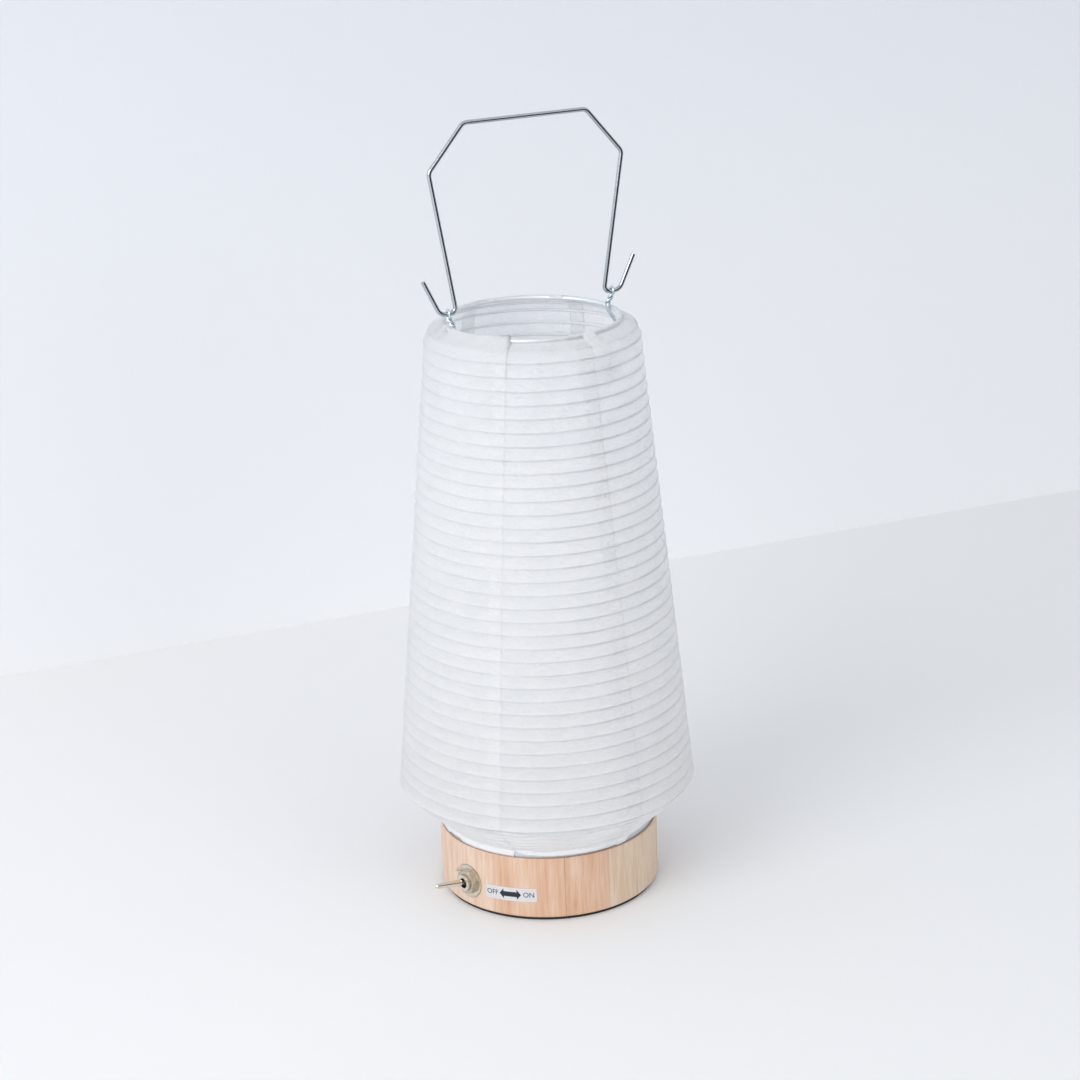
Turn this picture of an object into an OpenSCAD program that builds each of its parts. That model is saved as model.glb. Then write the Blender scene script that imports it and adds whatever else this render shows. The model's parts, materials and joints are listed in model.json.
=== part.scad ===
/* [Base] */
// Diameter of the turned wooden base
base_d = 80; // [78:1:92]
// Height of the wooden base without its foot ring
base_h = 23.3; // [22.5:0.1:28]
// Thickness of the wood over the battery pocket
base_top_t = 4; // [3:0.5:5]
// Rounding of the base's two outer edges
base_edge = 0.5; // [0.3:0.1:1]
// Thickness of the foot ring
foot_t = 1.2; // [0.8:0.1:2]
// Distance of the foot ring from the edge of the wood
foot_inset = 1.1; // [0.5:0.1:1.5]
// Width of the foot ring
foot_w = 3.3; // [2.5:0.1:3.6]
// Thickness of the bottom cover
cover_t = 2.2; // [1.8:0.1:2.4]
// Length of the cover screws
cover_screw_l = 9; // [7:0.5:12]
// Diameter of the cover screws
cover_screw_d = 2.6; // [2.2:0.1:3]

/* [Shade] */
// Radius of the lowest hoop
hoop_r_low = 54; // [50:0.5:60]
// Radius of the highest even hoop
hoop_r_high = 38; // [36:0.5:44]
// Number of evenly spaced hoops
hoop_count = 36; // [24:1:40]
// Distance from hoop to hoop
hoop_pitch = 4.7; // [4:0.1:6]
// Diameter of a hoop
hoop_d = 0.9; // [0.6:0.1:1.2]
// Height of the lowest hoop over the wood
belly_h = 17.1; // [14:0.1:22]
// Thickness of the paper
paper_t = 0.25; // [0.15:0.05:0.4]
// How deep the paper sinks between two hoops
paper_sag = 0.3; // [0.1:0.05:0.5]
// Angle that the front strip of paper takes
front_strip_a = 54; // [48:1:60]
// Direction of the first seam
seam_angle = 228.6; // [200:0.1:260]
// Height of the galvanised band
band_h = 3; // [2.6:0.1:4.5]
// Thickness of the galvanised band
band_t = 0.5; // [0.3:0.1:0.8]
// Distance of the band from the edge of the wood
band_inset = 1.1; // [0.8:0.1:2]

/* [Rim] */
// Radius of the rim ring at the middle of its wire
rim_r = 30.8; // [28:0.1:34]
// Diameter of the rim ring's wire
rim_wire_d = 1.6; // [1.2:0.1:2]
// Height of the rim ring over the highest even hoop
rim_rise = 6.1; // [5:0.1:8]
// Diameter of the ear wire
ear_wire_d = 1; // [0.8:0.1:1.1]
// Height of the bail's hinge line over the rim ring
ear_rise = 5.8; // [5.6:0.1:8]

/* [Bail] */
// Diameter of the bail wire
bail_wire_d = 1.6; // [1.2:0.1:1.8]
// Height of the bail over its hinge line
bail_h = 64.8; // [55:0.5:80]
// Half the width of the bail's flat top
bail_top_w = 22.9; // [18:0.1:28]
// Half the width of the bail at its shoulders
bail_shoulder_w = 36.2; // [33:0.1:40]
// Height of the shoulders over the hinge line
bail_shoulder_h = 49; // [40:0.5:56]
// Reach of a hook's tip past the hinge
hook_reach = 8.75; // [7:0.05:12]
// Height of a hook's tip
hook_h = 12.2; // [9:0.1:16]
// Inner bend radius at the corners of the bail
bail_bend_r = 3; // [2:0.5:5]

/* [Switch] */
// Direction of the switch from the lamp's axis
switch_angle = 197.95; // [190:0.05:206]
// Height of the switch over the floor
switch_z = 10.6; // [10.4:0.1:11.2]
// How far the switch is turned in its hole
switch_roll = 33; // [20:1:40]
// Throw of the lever to each side of its middle
lever_throw = 13.5; // [11:0.5:14]
// Length of the lever from its ball
lever_l = 13; // [11:0.5:13]
// Diameter of the switch bushing
bushing_d = 6; // [5.8:0.1:6.4]
// Width of the nut across its flats
nut_af = 8.2; // [7.8:0.1:9]
// Thickness of the nut
nut_t = 1.9; // [1.6:0.1:2.1]
// Diameter of the locking ring
lock_ring_d = 12.4; // [11:0.1:13]
// Length of the label
label_w = 19.9; // [16:0.1:22]
// Height of the label
label_h = 5.25; // [4.5:0.05:7]
// Angle from the switch to the middle of the label
label_turn = 26.2; // [25:0.1:32]

/* [Hidden] */

wood_color = "#E2B896";
paper_color = "#F2F3F6";
hoop_color = "#D9CDB4";
steel_color = "#A9AFB4";
zinc_color = "#C9D0D3";
nickel_color = "#C8C0B4";
black_color = "#1D1D1F";
white_color = "#F4F4F0";
red_color = "#B3282D";
cell_color = "#4A5560";
switch_color = "#27415C";
resistor_color = "#D2BE9A";

round_fn = 96;
wire_fn = 24;
tube_sides = 8;
slip = 0.05;
wire_lap = 0.1;
wire_step = 0.01;
seat_gap = 0.15;
cut = 1;

// Base, from the floor up
base_r = base_d / 2;
wood_z = foot_t;
top_z = foot_t + base_h;
foot_r = base_r - foot_inset;
cover_r = foot_r - foot_w - 0.3;
cover_gap = 0.25;

// Battery pocket: the switch lies along local X and the cells along local Y
cell_d = 14.2;
cell_l = 50.5;
cell_nub_d = 5.5;
cell_nub_h = 1.3;
cell_x = cell_d / 2 + slip;
holder_wall = 1.2;
holder_h = 14.6;
pocket_gap = 1.6;
pocket_corner_r = 1.5;
pocket_z = top_z - base_top_t;
holder_z = pocket_z - holder_h;
cell_z = pocket_z - holder_wall - slip - cell_d / 2;
contact_t = 0.4;
contact_w = 11;
contact_h = 12;
spring_d = 0.6;
spring_turns = 3;
spring_r_wide = 4.6;
spring_r_tight = 2.3;
spring_l = 3.6;
holder_in_l = cell_l + spring_l + 2 * contact_t + 4 * slip;
holder_l = holder_in_l + 2 * holder_wall;
holder_w = 2 * cell_d + 4 * slip + 2 * holder_wall;
pocket_l = holder_l + 2 * pocket_gap;
pocket_w = holder_w + 2 * pocket_gap;
lead_d = 1.2;
lead_bend = 0.9;
lead_gap_x = (holder_w + pocket_gap) / 2;
lead_end_y = (holder_l + pocket_gap) / 2;
wire_hole_d = 4.4;
cover_screw_head_d = 2 * cover_screw_d;
cover_screw_x = 24.5;
cover_screw_y = 14;

// Light
board_r = 11;
board_t = 1.6;
board_screw_d = 2;
board_screw_l = 5;
board_screw_y = 8;
led_d = 5;
led_flange_d = 5.8;
led_flange_h = 1;
led_h = 8.6;
resistor_d = 2.2;
resistor_l = 6;
resistor_x = -6;
resistor_wire_d = 0.6;

// Switch, measured outwards from the lamp's axis
lock_ring_t = 0.6;
lock_tab_w = 1.4;
lock_tab_h = 1.5;
spot_r = lock_ring_d / 2 + 0.2;
spot_margin = 0.3;
spot_s = sqrt(base_r * base_r - (spot_r + spot_margin) * (spot_r + spot_margin));
nut_s = spot_s + lock_ring_t;
nut_turn = 41;
bushing_end_s = nut_s + nut_t + 0.9;
bushing_l = 9;
bushing_gap = 0.1;
bushing_bore_r = 2;
bushing_lip_r = 1.86;
bushing_lip_t = 0.5;
body_s = bushing_end_s - bushing_l;
body_w = 7.9;
body_l = 13.2;
body_depth = 9.4;
bracket_t = 0.5;
bay_w = body_l * cos(switch_roll) + body_w * sin(switch_roll) + 1;
bay_z = switch_z + (body_l * sin(switch_roll) + body_w * cos(switch_roll)) / 2 + 0.4;
terminal_l = 4.2;
terminal_w = 2;
terminal_t = 0.8;
terminal_pitch = 4.7;
terminal_s = body_s - body_depth - terminal_l;
wire_hole_x = terminal_s + 1.7;
lever_pivot_s = bushing_end_s - 1.9;
lever_ball_r = bushing_bore_r - 0.08;
pivot_r = 0.4;
pivot_l = 4.8;
lever_root_d = 2.1;
lever_thick_d = 2.3;
lever_tip_d = 1.9;
lever_tail_l = 4;
lever_tail_d = 1.4;

// Shade
hoop_z_low = top_z + belly_h;
hoop_z_high = hoop_z_low + (hoop_count - 1) * hoop_pitch;
rim_z = hoop_z_high + rim_rise;
shoulder_z = hoop_z_high + 0.57 * rim_rise;
shoulder_r = rim_r + 0.8 * (hoop_r_high - rim_r);
band_r = base_r - band_inset;
boss_r = band_r - band_t - slip;
boss_z = top_z + band_h - 0.2;
hem_r = band_r + slip + paper_t;
hem_z = top_z + 0.6 * band_h;
belly_z = top_z + band_h - 0.2;
belly_steps = 8;
belly_power = 1.9;
panel_count = 6;
hoop_gap = 0.1;
panel_gap = 0.1;
pin_d = 0.9;
pin_l = 5;
pin_count = 4;
pin_z = top_z + 0.45 * band_h;

// Ears and hinge line
hinge_z = rim_z + ear_rise;
loop_gap = 0.08;
loop_r = bail_wire_d / 2 + loop_gap + ear_wire_d / 2;
ear_x = rim_r + 0.45;
ear_leg_x = rim_r - (rim_wire_d + ear_wire_d) / 2 - seat_gap;
ear_strand_y = ear_wire_d / 2 + slip;
ear_neck_z = rim_z + 1.35;
ear_bend_z = rim_z - 0.3;
ear_end = [ear_leg_x + 3.1, rim_z - 5.3];
neck_steps = 12;

// Corners of half the bail, as [across, up from the hinge line], from the tip to the top
hinge_half = 0.75;
leg_corner_x = ear_x - 3.1;
hook_corner_x = ear_x + 2.95;
bail_half = [[ear_x + hook_reach, hook_h], [hook_corner_x, 0], [leg_corner_x, 0],
    [bail_shoulder_w, bail_shoulder_h], [bail_top_w, bail_h]];
bail_tangent = [hook_corner_x - ear_x - hinge_half, ear_x - hinge_half - leg_corner_x];

function hoop_r(k) = hoop_r_low + (hoop_r_high - hoop_r_low) * k / (hoop_count - 1);
function hoop_z(k) = hoop_z_low + k * hoop_pitch;
function belly(s) = [hem_r + (hoop_r_low - hem_r) * pow(cos(90 * s), belly_power),
    hoop_z_low - (hoop_z_low - belly_z) * pow(sin(90 * s), belly_power)];

// Outer line of the paper from its hem to the rim, as [radius, height]
paper_line = concat(
    [[hem_r, hem_z]],
    [for (i = [belly_steps:-1:1]) belly(i / belly_steps)],
    [for (k = [0:hoop_count - 2], h = [0, 1])
        [hoop_r(k + h / 2) - h * paper_sag, hoop_z(k + h / 2)]],
    [[hoop_r_high, hoop_z_high],
        [(hoop_r_high + shoulder_r) / 2 - paper_sag / 3, (hoop_z_high + shoulder_z) / 2],
        [shoulder_r, shoulder_z],
        [rim_r + rim_wire_d / 2 + slip + paper_t, rim_z + 0.3]]);

function paper_inner(p) = [p[0] - paper_t, p[1] - (p[1] > hoop_z_high + 1 ? paper_t / 2 : 0)];

function unit(v) = v / norm(v);
function tangent(p, i) = unit(p[min(i + 1, len(p) - 1)] - p[max(i - 1, 0)]);
function square_to(v, t) = unit(v - (v * t) * t);
function carried(p, n, i = 0) = i == len(p) ? []
    : let (m = square_to(n, tangent(p, i))) concat([m], carried(p, m, i + 1));

// Corner points replaced by short curves that begin and end at most r from the corner
function softened(p, r) = concat([p[0]],
    [for (i = [1:len(p) - 2], s = [0, 0.33, 0.67, 1])
        let (a = min(r, norm(p[i - 1] - p[i]) / 2.1), b = min(r, norm(p[i + 1] - p[i]) / 2.1),
            from = p[i] + a * unit(p[i - 1] - p[i]), to = p[i] + b * unit(p[i + 1] - p[i]))
        (1 - s) * (1 - s) * from + 2 * s * (1 - s) * p[i] + s * s * to],
    [p[len(p) - 1]]);

// One unbroken tube along a list of points
module tube(p, d) {
    start = tangent(p, 0);
    n = carried(p, abs(start[2]) < 0.8 ? [0, 0, 1] : [0, 1, 0]);
    points = [for (i = [0:len(p) - 1], j = [0:tube_sides - 1])
        let (a = 360 * j / tube_sides, t = tangent(p, i))
        p[i] + d / 2 * (cos(a) * n[i] + sin(a) * cross(t, n[i]))];
    last = (len(p) - 1) * tube_sides;
    faces = concat(
        [for (j = [1:tube_sides - 2]) [0, j, j + 1]],
        [for (j = [1:tube_sides - 2]) [last, last + j + 1, last + j]],
        [for (i = [0:len(p) - 2], j = [0:tube_sides - 1], h = [0, 1])
            let (a = i * tube_sides + j, b = i * tube_sides + (j + 1) % tube_sides)
            h == 0 ? [a, a + tube_sides, b] : [b, a + tube_sides, b + tube_sides]]);
    polyhedron(points, faces);
}

module pocket_frame() {
    rotate([0, 0, switch_angle]) children();
}

module switch_frame() {
    pocket_frame() translate([0, 0, switch_z]) rotate([0, 90, 0]) children();
}

module rolled_switch_frame() {
    switch_frame() rotate([0, 0, -switch_roll]) children();
}

module box(low, high) {
    translate(low) cube(high - low);
}

module at_cover_screws() {
    for (x = [-1, 1], y = [-1, 1])
        translate([x * cover_screw_x, y * cover_screw_y, wood_z]) children();
}

module screw_solid(d, head_d, length, gap = 0) {
    cylinder(h = length + gap, d = d + 2 * gap, $fn = wire_fn);
    cylinder(h = (head_d - d) / 2, d1 = head_d + 2 * gap, d2 = d + 2 * gap, $fn = wire_fn);
}

module at_pins() {
    for (i = [0:pin_count - 1])
        rotate([0, 0, seam_angle + 30 + i * 360 / pin_count]) translate([0, 0, pin_z])
            rotate([0, 90, 0]) children();
}

module wooden_base() {
    color(wood_color) difference() {
        rotate_extrude($fn = round_fn) polygon([
            [0, wood_z], [base_r - base_edge, wood_z], [base_r, wood_z + base_edge],
            [base_r, top_z - base_edge], [base_r - base_edge, top_z], [boss_r, top_z],
            [boss_r, boss_z], [0, boss_z]]);
        translate([0, 0, wood_z - cut]) cylinder(h = cover_t + cut, r = cover_r + cover_gap, $fn = round_fn);
        pocket_frame() {
            box([-pocket_w / 2, -pocket_l / 2, wood_z - cut / 2], [pocket_w / 2, pocket_l / 2, pocket_z]);
            for (x = [-1, 1], y = [-1, 1]) translate([x * pocket_w / 2, y * pocket_l / 2, wood_z - cut / 2])
                cylinder(h = pocket_z - wood_z + cut / 2, r = pocket_corner_r, $fn = wire_fn);
            box([0, -bay_w / 2, wood_z - cut / 2], [body_s, bay_w / 2, bay_z]);
            translate([wire_hole_x, 0, switch_z]) cylinder(h = boss_z, d = wire_hole_d, $fn = wire_fn);
            at_cover_screws() cylinder(h = cover_screw_l + slip, d = cover_screw_d + 2 * slip, $fn = wire_fn);
            for (y = [-1, 1]) translate([0, y * board_screw_y, boss_z + cut])
                mirror([0, 0, 1])
                    cylinder(h = board_screw_l - board_t + cut + slip,
                        d = board_screw_d + 2 * slip, $fn = wire_fn);
        }
        switch_frame() {
            translate([0, 0, body_s - cut])
                cylinder(h = bushing_l, d = bushing_d + 2 * bushing_gap, $fn = wire_fn);
            translate([0, 0, spot_s]) cylinder(h = base_r, r = spot_r, $fn = round_fn);
        }
        at_pins() translate([0, 0, band_r - pin_l - slip])
            cylinder(h = pin_l + cut, d = pin_d + 2 * slip, $fn = wire_fn);
    }
}

module foot_ring() {
    color(black_color) rotate_extrude($fn = round_fn)
        translate([foot_r - foot_w, 0]) square([foot_w, foot_t]);
}

module bottom_cover() {
    color(black_color) difference() {
        translate([0, 0, wood_z]) cylinder(h = cover_t, r = cover_r, $fn = round_fn);
        pocket_frame() at_cover_screws() translate([0, 0, -slip])
            screw_solid(cover_screw_d, cover_screw_head_d, cover_screw_l, slip);
    }
}

module cover_screws() {
    color(steel_color) pocket_frame() at_cover_screws() difference() {
        screw_solid(cover_screw_d, cover_screw_head_d, cover_screw_l);
        for (a = [0, 90]) rotate([0, 0, a])
            box([-cover_screw_d / 2, -0.3, -cut], [cover_screw_d / 2, 0.3, 0.8]);
    }
}

module label() {
    color(white_color) rotate([0, 0, switch_angle + label_turn - 90 * label_w / (PI * base_r)])
        rotate_extrude(angle = 180 * label_w / (PI * base_r), $fn = round_fn)
            translate([base_r + 0.02, (wood_z + top_z) / 2 - 3 - label_h / 2]) square([0.12, label_h]);
}

module battery_holder() {
    color(black_color) pocket_frame() difference() {
        box([-holder_w / 2, -holder_l / 2, holder_z], [holder_w / 2, holder_l / 2, pocket_z]);
        box([-holder_w / 2 + holder_wall, -holder_in_l / 2, holder_z - cut],
            [holder_w / 2 - holder_wall, holder_in_l / 2, pocket_z - holder_wall]);
    }
}

// A cell with its middle at the origin and its nub towards +Y
module cell() {
    rotate([-90, 0, 0]) translate([0, 0, -cell_l / 2]) {
        cylinder(h = cell_l - cell_nub_h, d = cell_d, $fn = 48);
        cylinder(h = cell_l, d = cell_nub_d, $fn = wire_fn);
    }
}

module cell_near() {
    color(cell_color) pocket_frame()
        translate([cell_x, holder_in_l / 2 - contact_t - 2 * slip - cell_l / 2, cell_z]) cell();
}

module cell_far() {
    color(cell_color) pocket_frame() rotate([0, 0, 180])
        translate([cell_x, holder_in_l / 2 - contact_t - 2 * slip - cell_l / 2, cell_z]) cell();
}

// Plate that stands at the +Y end of the holder, centred on x
module contact_plate(x, w) {
    box([x - w / 2, holder_in_l / 2 - contact_t - slip, cell_z - contact_h / 2],
        [x + w / 2, holder_in_l / 2 - slip, cell_z + contact_h / 2 - slip]);
}

function spring_point(s) = let (a = 360 * spring_turns * s,
        r = spring_r_wide + (spring_r_tight - spring_r_wide) * s)
    [r * cos(a), holder_in_l / 2 - contact_t - slip - spring_d / 2 + 0.1
        - (spring_l - spring_d + 0.1) * s, cell_z + r * sin(a)];
spring_line = [for (i = [0:8 * spring_turns]) spring_point(i / (8 * spring_turns))];
spring_gap = min([for (i = [0:len(spring_line) - 8], j = [i + 6:len(spring_line) - 1])
    norm(spring_line[i] - spring_line[j])]) - spring_d;
echo(spring_least_gap = spring_gap);

module contact_spring(x) {
    translate([x, 0, 0]) tube(spring_line, spring_d);
}

module series_link() {
    color(zinc_color) pocket_frame() {
        contact_plate(0, 2 * cell_x + contact_w);
        contact_spring(-cell_x);
    }
}

module spring_contact() {
    color(zinc_color) pocket_frame() mirror([0, 1, 0]) {
        contact_plate(cell_x, contact_w);
        contact_spring(cell_x);
        contact_tail(cell_x);
    }
}

module plate_contact() {
    color(zinc_color) pocket_frame() mirror([0, 1, 0]) {
        contact_plate(-cell_x, contact_w);
        contact_tail(-cell_x);
    }
}

// Solder tail that wraps under the end wall of the holder
module contact_tail(x) {
    y = holder_in_l / 2 - contact_t - slip;
    z = holder_z - slip - contact_t;
    box([x - 1.5, y, z], [x + 1.5, y + contact_t, cell_z]);
    box([x - 1.5, y, z], [x + 1.5, holder_l / 2, z + contact_t]);
}

module led_board() {
    color(white_color) pocket_frame() difference() {
        translate([0, 0, boss_z]) cylinder(h = board_t, r = board_r, $fn = round_fn);
        for (y = [-1, 1]) translate([0, y * board_screw_y, boss_z - cut])
            cylinder(h = board_t + 2 * cut, d = board_screw_d + 2 * slip, $fn = wire_fn);
    }
}

module board_screws() {
    color(zinc_color) pocket_frame()
        for (y = [-1, 1]) translate([0, y * board_screw_y, boss_z + board_t]) difference() {
            union() {
                translate([0, 0, -board_screw_l])
                    cylinder(h = board_screw_l, d = board_screw_d, $fn = wire_fn);
                cylinder(h = 1.2, d = 1.9 * board_screw_d, $fn = wire_fn);
            }
            box([-0.25, -board_screw_d, 0.6], [0.25, board_screw_d, 2]);
        }
}

module led_lens() {
    z = boss_z + board_t;
    color(white_color) rotate_extrude($fn = 48) polygon(concat(
        [[0, z], [led_flange_d / 2, z], [led_flange_d / 2, z + led_flange_h], [led_d / 2, z + led_flange_h]],
        [for (a = [0:15:90]) [led_d / 2 * cos(a), z + led_h - led_d / 2 + led_d / 2 * sin(a)]]));
}

module resistor() {
    z = boss_z + board_t;
    color(resistor_color) pocket_frame() translate([resistor_x, 0, 0]) {
        translate([0, -resistor_l / 2, z + resistor_d / 2 + 0.2]) rotate([-90, 0, 0])
            cylinder(h = resistor_l, d = resistor_d, $fn = wire_fn);
        for (y = [-1, 1]) tube(softened([[0, y * (resistor_l / 2 - 0.5), z + resistor_d / 2 + 0.2],
            [0, y * (resistor_l / 2 + 1.4), z + resistor_d / 2 + 0.2],
            [0, y * (resistor_l / 2 + 1.4), z]], 0.6), resistor_wire_d);
    }
}

// Place beside a switch terminal where its lead is soldered, as [outwards, sideways, up]
function terminal_side(d) = let (e = d - (terminal_t + lead_d) / 2 - slip)
    [terminal_s + 1.5, e * cos(switch_roll), switch_z - e * sin(switch_roll)];
lead_low_z = holder_z - slip - contact_t - lead_d / 2;
board_top = boss_z + board_t + lead_d / 2;
bay_edge = -bay_w / 2 + lead_d / 2 + 0.3;
function tail_start(x) = [[x, -holder_l / 2 + 0.35, lead_low_z], [x + 1.5, -lead_end_y, lead_low_z]];
function round_corner(z) = [[lead_gap_x, -lead_end_y, z], [lead_gap_x, bay_edge, z + 0.3]];
function up_to_board(x, y) = [[wire_hole_x + x, y, bay_z - 1.4], [wire_hole_x + x, y, boss_z + 1.6],
    [board_r + 2.5, 1.8 * y, board_top + 0.4], [board_r - 1.5, 2.4 * y, board_top], [7, 2.4 * y, board_top]];

red_route = concat(tail_start(-cell_x), [[0, -lead_end_y, 9]], round_corner(9.3),
    [[terminal_s - 0.4, -5.4, 13.4], terminal_side(-terminal_pitch)]);
black_route = concat(tail_start(cell_x), round_corner(5.8),
    [[lead_gap_x, -bay_edge, 6.1], [lead_gap_x, -bay_edge, 15.8]], up_to_board(-0.8, 1.1));
white_route = concat([terminal_side(0), [terminal_s + 1.6, -0.9, switch_z + 2.8]], up_to_board(0.8, -1.1));

module lead(route) {
    pocket_frame() tube(softened(route, lead_bend), lead_d);
}

module lead_red() {
    color(red_color) lead(red_route);
}

module lead_white() {
    color(white_color) lead(white_route);
}

module lead_black() {
    color(black_color) lead(black_route);
}

module switch_body() {
    color(switch_color) rolled_switch_frame()
        box([-body_w / 2, -body_l / 2, body_s - body_depth], [body_w / 2, body_l / 2, body_s - bracket_t]);
}

// Pin that the lever turns on, and its bore and slot in the bushing when grown
module pivot_pin(grow) {
    translate([-pivot_l / 2 - grow, 0, lever_pivot_s]) rotate([0, 90, 0])
        cylinder(h = pivot_l + 2 * grow, r = pivot_r + grow, $fn = wire_fn);
}

module switch_bushing() {
    color(nickel_color) rolled_switch_frame() difference() {
        union() {
            box([-body_w / 2, -body_l / 2, body_s - bracket_t], [body_w / 2, body_l / 2, body_s]);
            translate([0, 0, body_s - bracket_t])
                cylinder(h = bushing_end_s - body_s + bracket_t, d = bushing_d, $fn = 48);
        }
        translate([0, 0, body_s - bracket_t - cut])
            cylinder(h = bushing_l + bracket_t + cut - bushing_lip_t, r = bushing_bore_r, $fn = 48);
        translate([0, 0, bushing_end_s - 2 * bushing_lip_t])
            cylinder(h = cut + 2 * bushing_lip_t, r = bushing_lip_r, $fn = 48);
        pivot_pin(slip);
        box([-pivot_l / 2 - slip, -pivot_r - slip, body_s - bracket_t - cut],
            [pivot_l / 2 + slip, pivot_r + slip, lever_pivot_s]);
    }
}

module switch_terminals() {
    color(zinc_color) rolled_switch_frame() for (d = [-1, 0, 1])
        box([-terminal_w / 2, d * terminal_pitch - terminal_t / 2, body_s - body_depth - terminal_l],
            [terminal_w / 2, d * terminal_pitch + terminal_t / 2, body_s - body_depth]);
}

module lock_ring() {
    color(nickel_color) rolled_switch_frame() difference() {
        union() {
            translate([0, 0, spot_s]) cylinder(h = lock_ring_t, d = lock_ring_d, $fn = round_fn);
            box([-lock_tab_w / 2, -lock_ring_d / 2 - 0.1, spot_s + slip],
                [lock_tab_w / 2, -lock_ring_d / 2 + lock_ring_t, nut_s + lock_tab_h]);
        }
        translate([0, 0, spot_s - cut])
            cylinder(h = lock_ring_t + 2 * cut, d = bushing_d + 2 * bushing_gap, $fn = 48);
    }
}

module hex_nut() {
    corner_r = nut_af / 2 / cos(30);
    flat_r = nut_af / 2;
    color(nickel_color) switch_frame() translate([0, 0, nut_s]) difference() {
        intersection() {
            rotate([0, 0, nut_turn]) cylinder(h = nut_t, r = corner_r, $fn = 6);
            rotate_extrude($fn = round_fn) polygon([[0, 0], [flat_r + 0.2, 0], [corner_r, 0.35],
                [corner_r, nut_t - 0.35], [flat_r + 0.2, nut_t], [0, nut_t]]);
        }
        translate([0, 0, -cut]) cylinder(h = nut_t + 2 * cut, d = bushing_d + 2 * bushing_gap, $fn = 48);
    }
}

module toggle_lever() {
    root_a = asin(lever_root_d / 2 / lever_ball_r);
    tail_a = asin(lever_tail_d / 2 / lever_ball_r);
    tip_r = lever_tip_d / 2;
    color(nickel_color) rolled_switch_frame() {
        pivot_pin(0);
        translate([0, 0, lever_pivot_s]) rotate([lever_throw, 0, 0]) rotate_extrude($fn = 48)
            polygon(concat([[0, -lever_tail_l], [lever_tail_d / 2, -lever_tail_l]],
                [for (i = [0:8]) let (a = -90 + tail_a + i * (180 - tail_a - root_a) / 8)
                    lever_ball_r * [cos(a), sin(a)]],
                [[lever_root_d / 2, 2.2], [lever_thick_d / 2, 3]],
                [for (a = [0:15:90]) [tip_r * cos(a), lever_l - tip_r + tip_r * sin(a)]]));
    }
}

module bottom_band() {
    color(zinc_color) difference() {
        rotate_extrude($fn = round_fn) translate([band_r - band_t, top_z]) square([band_t, band_h]);
        at_pins() translate([0, 0, band_r - pin_l - slip])
            cylinder(h = 2 * pin_l, d = pin_d + 2 * slip, $fn = wire_fn);
    }
}

module band_pins() {
    color(steel_color) at_pins() translate([0, 0, band_r - pin_l])
        cylinder(h = pin_l - slip, d = pin_d, $fn = wire_fn);
}

function strip_turn(k) = k == 1 ? front_strip_a : (360 - front_strip_a) / (panel_count - 1);
function strip_start(k) = k == 1 ? seam_angle : strip_start(k - 1) + strip_turn(k - 1);

module paper_panel(k) {
    turn = strip_turn(k);
    gap_a = 180 * panel_gap / (PI * rim_r);
    color(paper_color) rotate([0, 0, strip_start(k) + gap_a / 2])
        rotate_extrude(angle = turn - gap_a, $fn = round_fn) polygon(concat(paper_line,
            [for (i = [len(paper_line) - 1:-1:0]) paper_inner(paper_line[i])]));
}

module hoop(r, z) {
    rotate_extrude($fn = round_fn) translate([r, z]) rotate(30) circle(d = hoop_d, $fn = 6);
}

module hoops() {
    inset = paper_t + hoop_gap + hoop_d / 2;
    color(hoop_color) {
        hoop(hoop_r(0) - inset, hoop_z(0) + 0.3 * hoop_d);
        for (k = [1:hoop_count - 1]) hoop(hoop_r(k) - inset, hoop_z(k));
        hoop(shoulder_r - paper_t - 0.5 * hoop_d, shoulder_z - paper_t / 2 - 0.42 * hoop_d);
    }
}

module rim_ring() {
    color(zinc_color) rotate_extrude($fn = round_fn) translate([rim_r, rim_z])
        circle(d = rim_wire_d, $fn = wire_fn);
}

// One strand of an ear: a full turn down the neck, then the leg inside the rim ring
function neck_middle(s) = [ear_x + (ear_leg_x - ear_x) * s, 0,
    hinge_z - loop_r + 0.3 + (ear_neck_z - hinge_z + loop_r - 0.3) * s];
neck_side = unit(cross([0, 1, 0], neck_middle(1) - neck_middle(0)));
function strand(side) = concat(
    [for (i = [0:neck_steps]) let (a = 90 * side + 360 * i / neck_steps)
        neck_middle(i / neck_steps) + ear_strand_y * (sin(a) * [0, 1, 0] + cos(a) * neck_side)],
    [[ear_leg_x, side * ear_strand_y, ear_neck_z - 0.5], [ear_leg_x, side * ear_strand_y, ear_bend_z + 0.3],
        [ear_leg_x + 0.2, side * ear_strand_y, ear_bend_z - 0.4],
        [ear_end[0], side * ear_strand_y, ear_end[1]]]);

module ear() {
    translate([ear_x, 0, hinge_z]) rotate([0, 90, 0]) rotate_extrude($fn = 48)
        translate([loop_r, 0]) circle(d = ear_wire_d, $fn = wire_fn);
    for (side = [-1, 1]) tube(strand(side), ear_wire_d);
}

module right_ear() {
    color(zinc_color) ear();
}

module left_ear() {
    color(zinc_color) mirror([1, 0, 0]) ear();
}

// Bend of a wire lying in the XZ plane at corner b between a and c
module bend(a, b, c, r, d) {
    u = unit(a - b);
    v = unit(c - b);
    open_a = acos(u * v);
    middle = b + r / sin(open_a / 2) * unit(u + v);
    from = b + r / tan(open_a / 2) * u - middle;
    to = b + r / tan(open_a / 2) * v - middle;
    turn = 180 - open_a;
    left = from[0] * to[1] - from[1] * to[0] > 0;
    start = left ? from : to;
    translate([middle[0], 0, middle[1]]) rotate([90, 0, 0]) rotate([0, 0, atan2(start[1], start[0])])
        rotate_extrude(angle = turn, $fn = round_fn) translate([r, 0]) circle(d = d, $fn = wire_fn);
}

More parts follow.
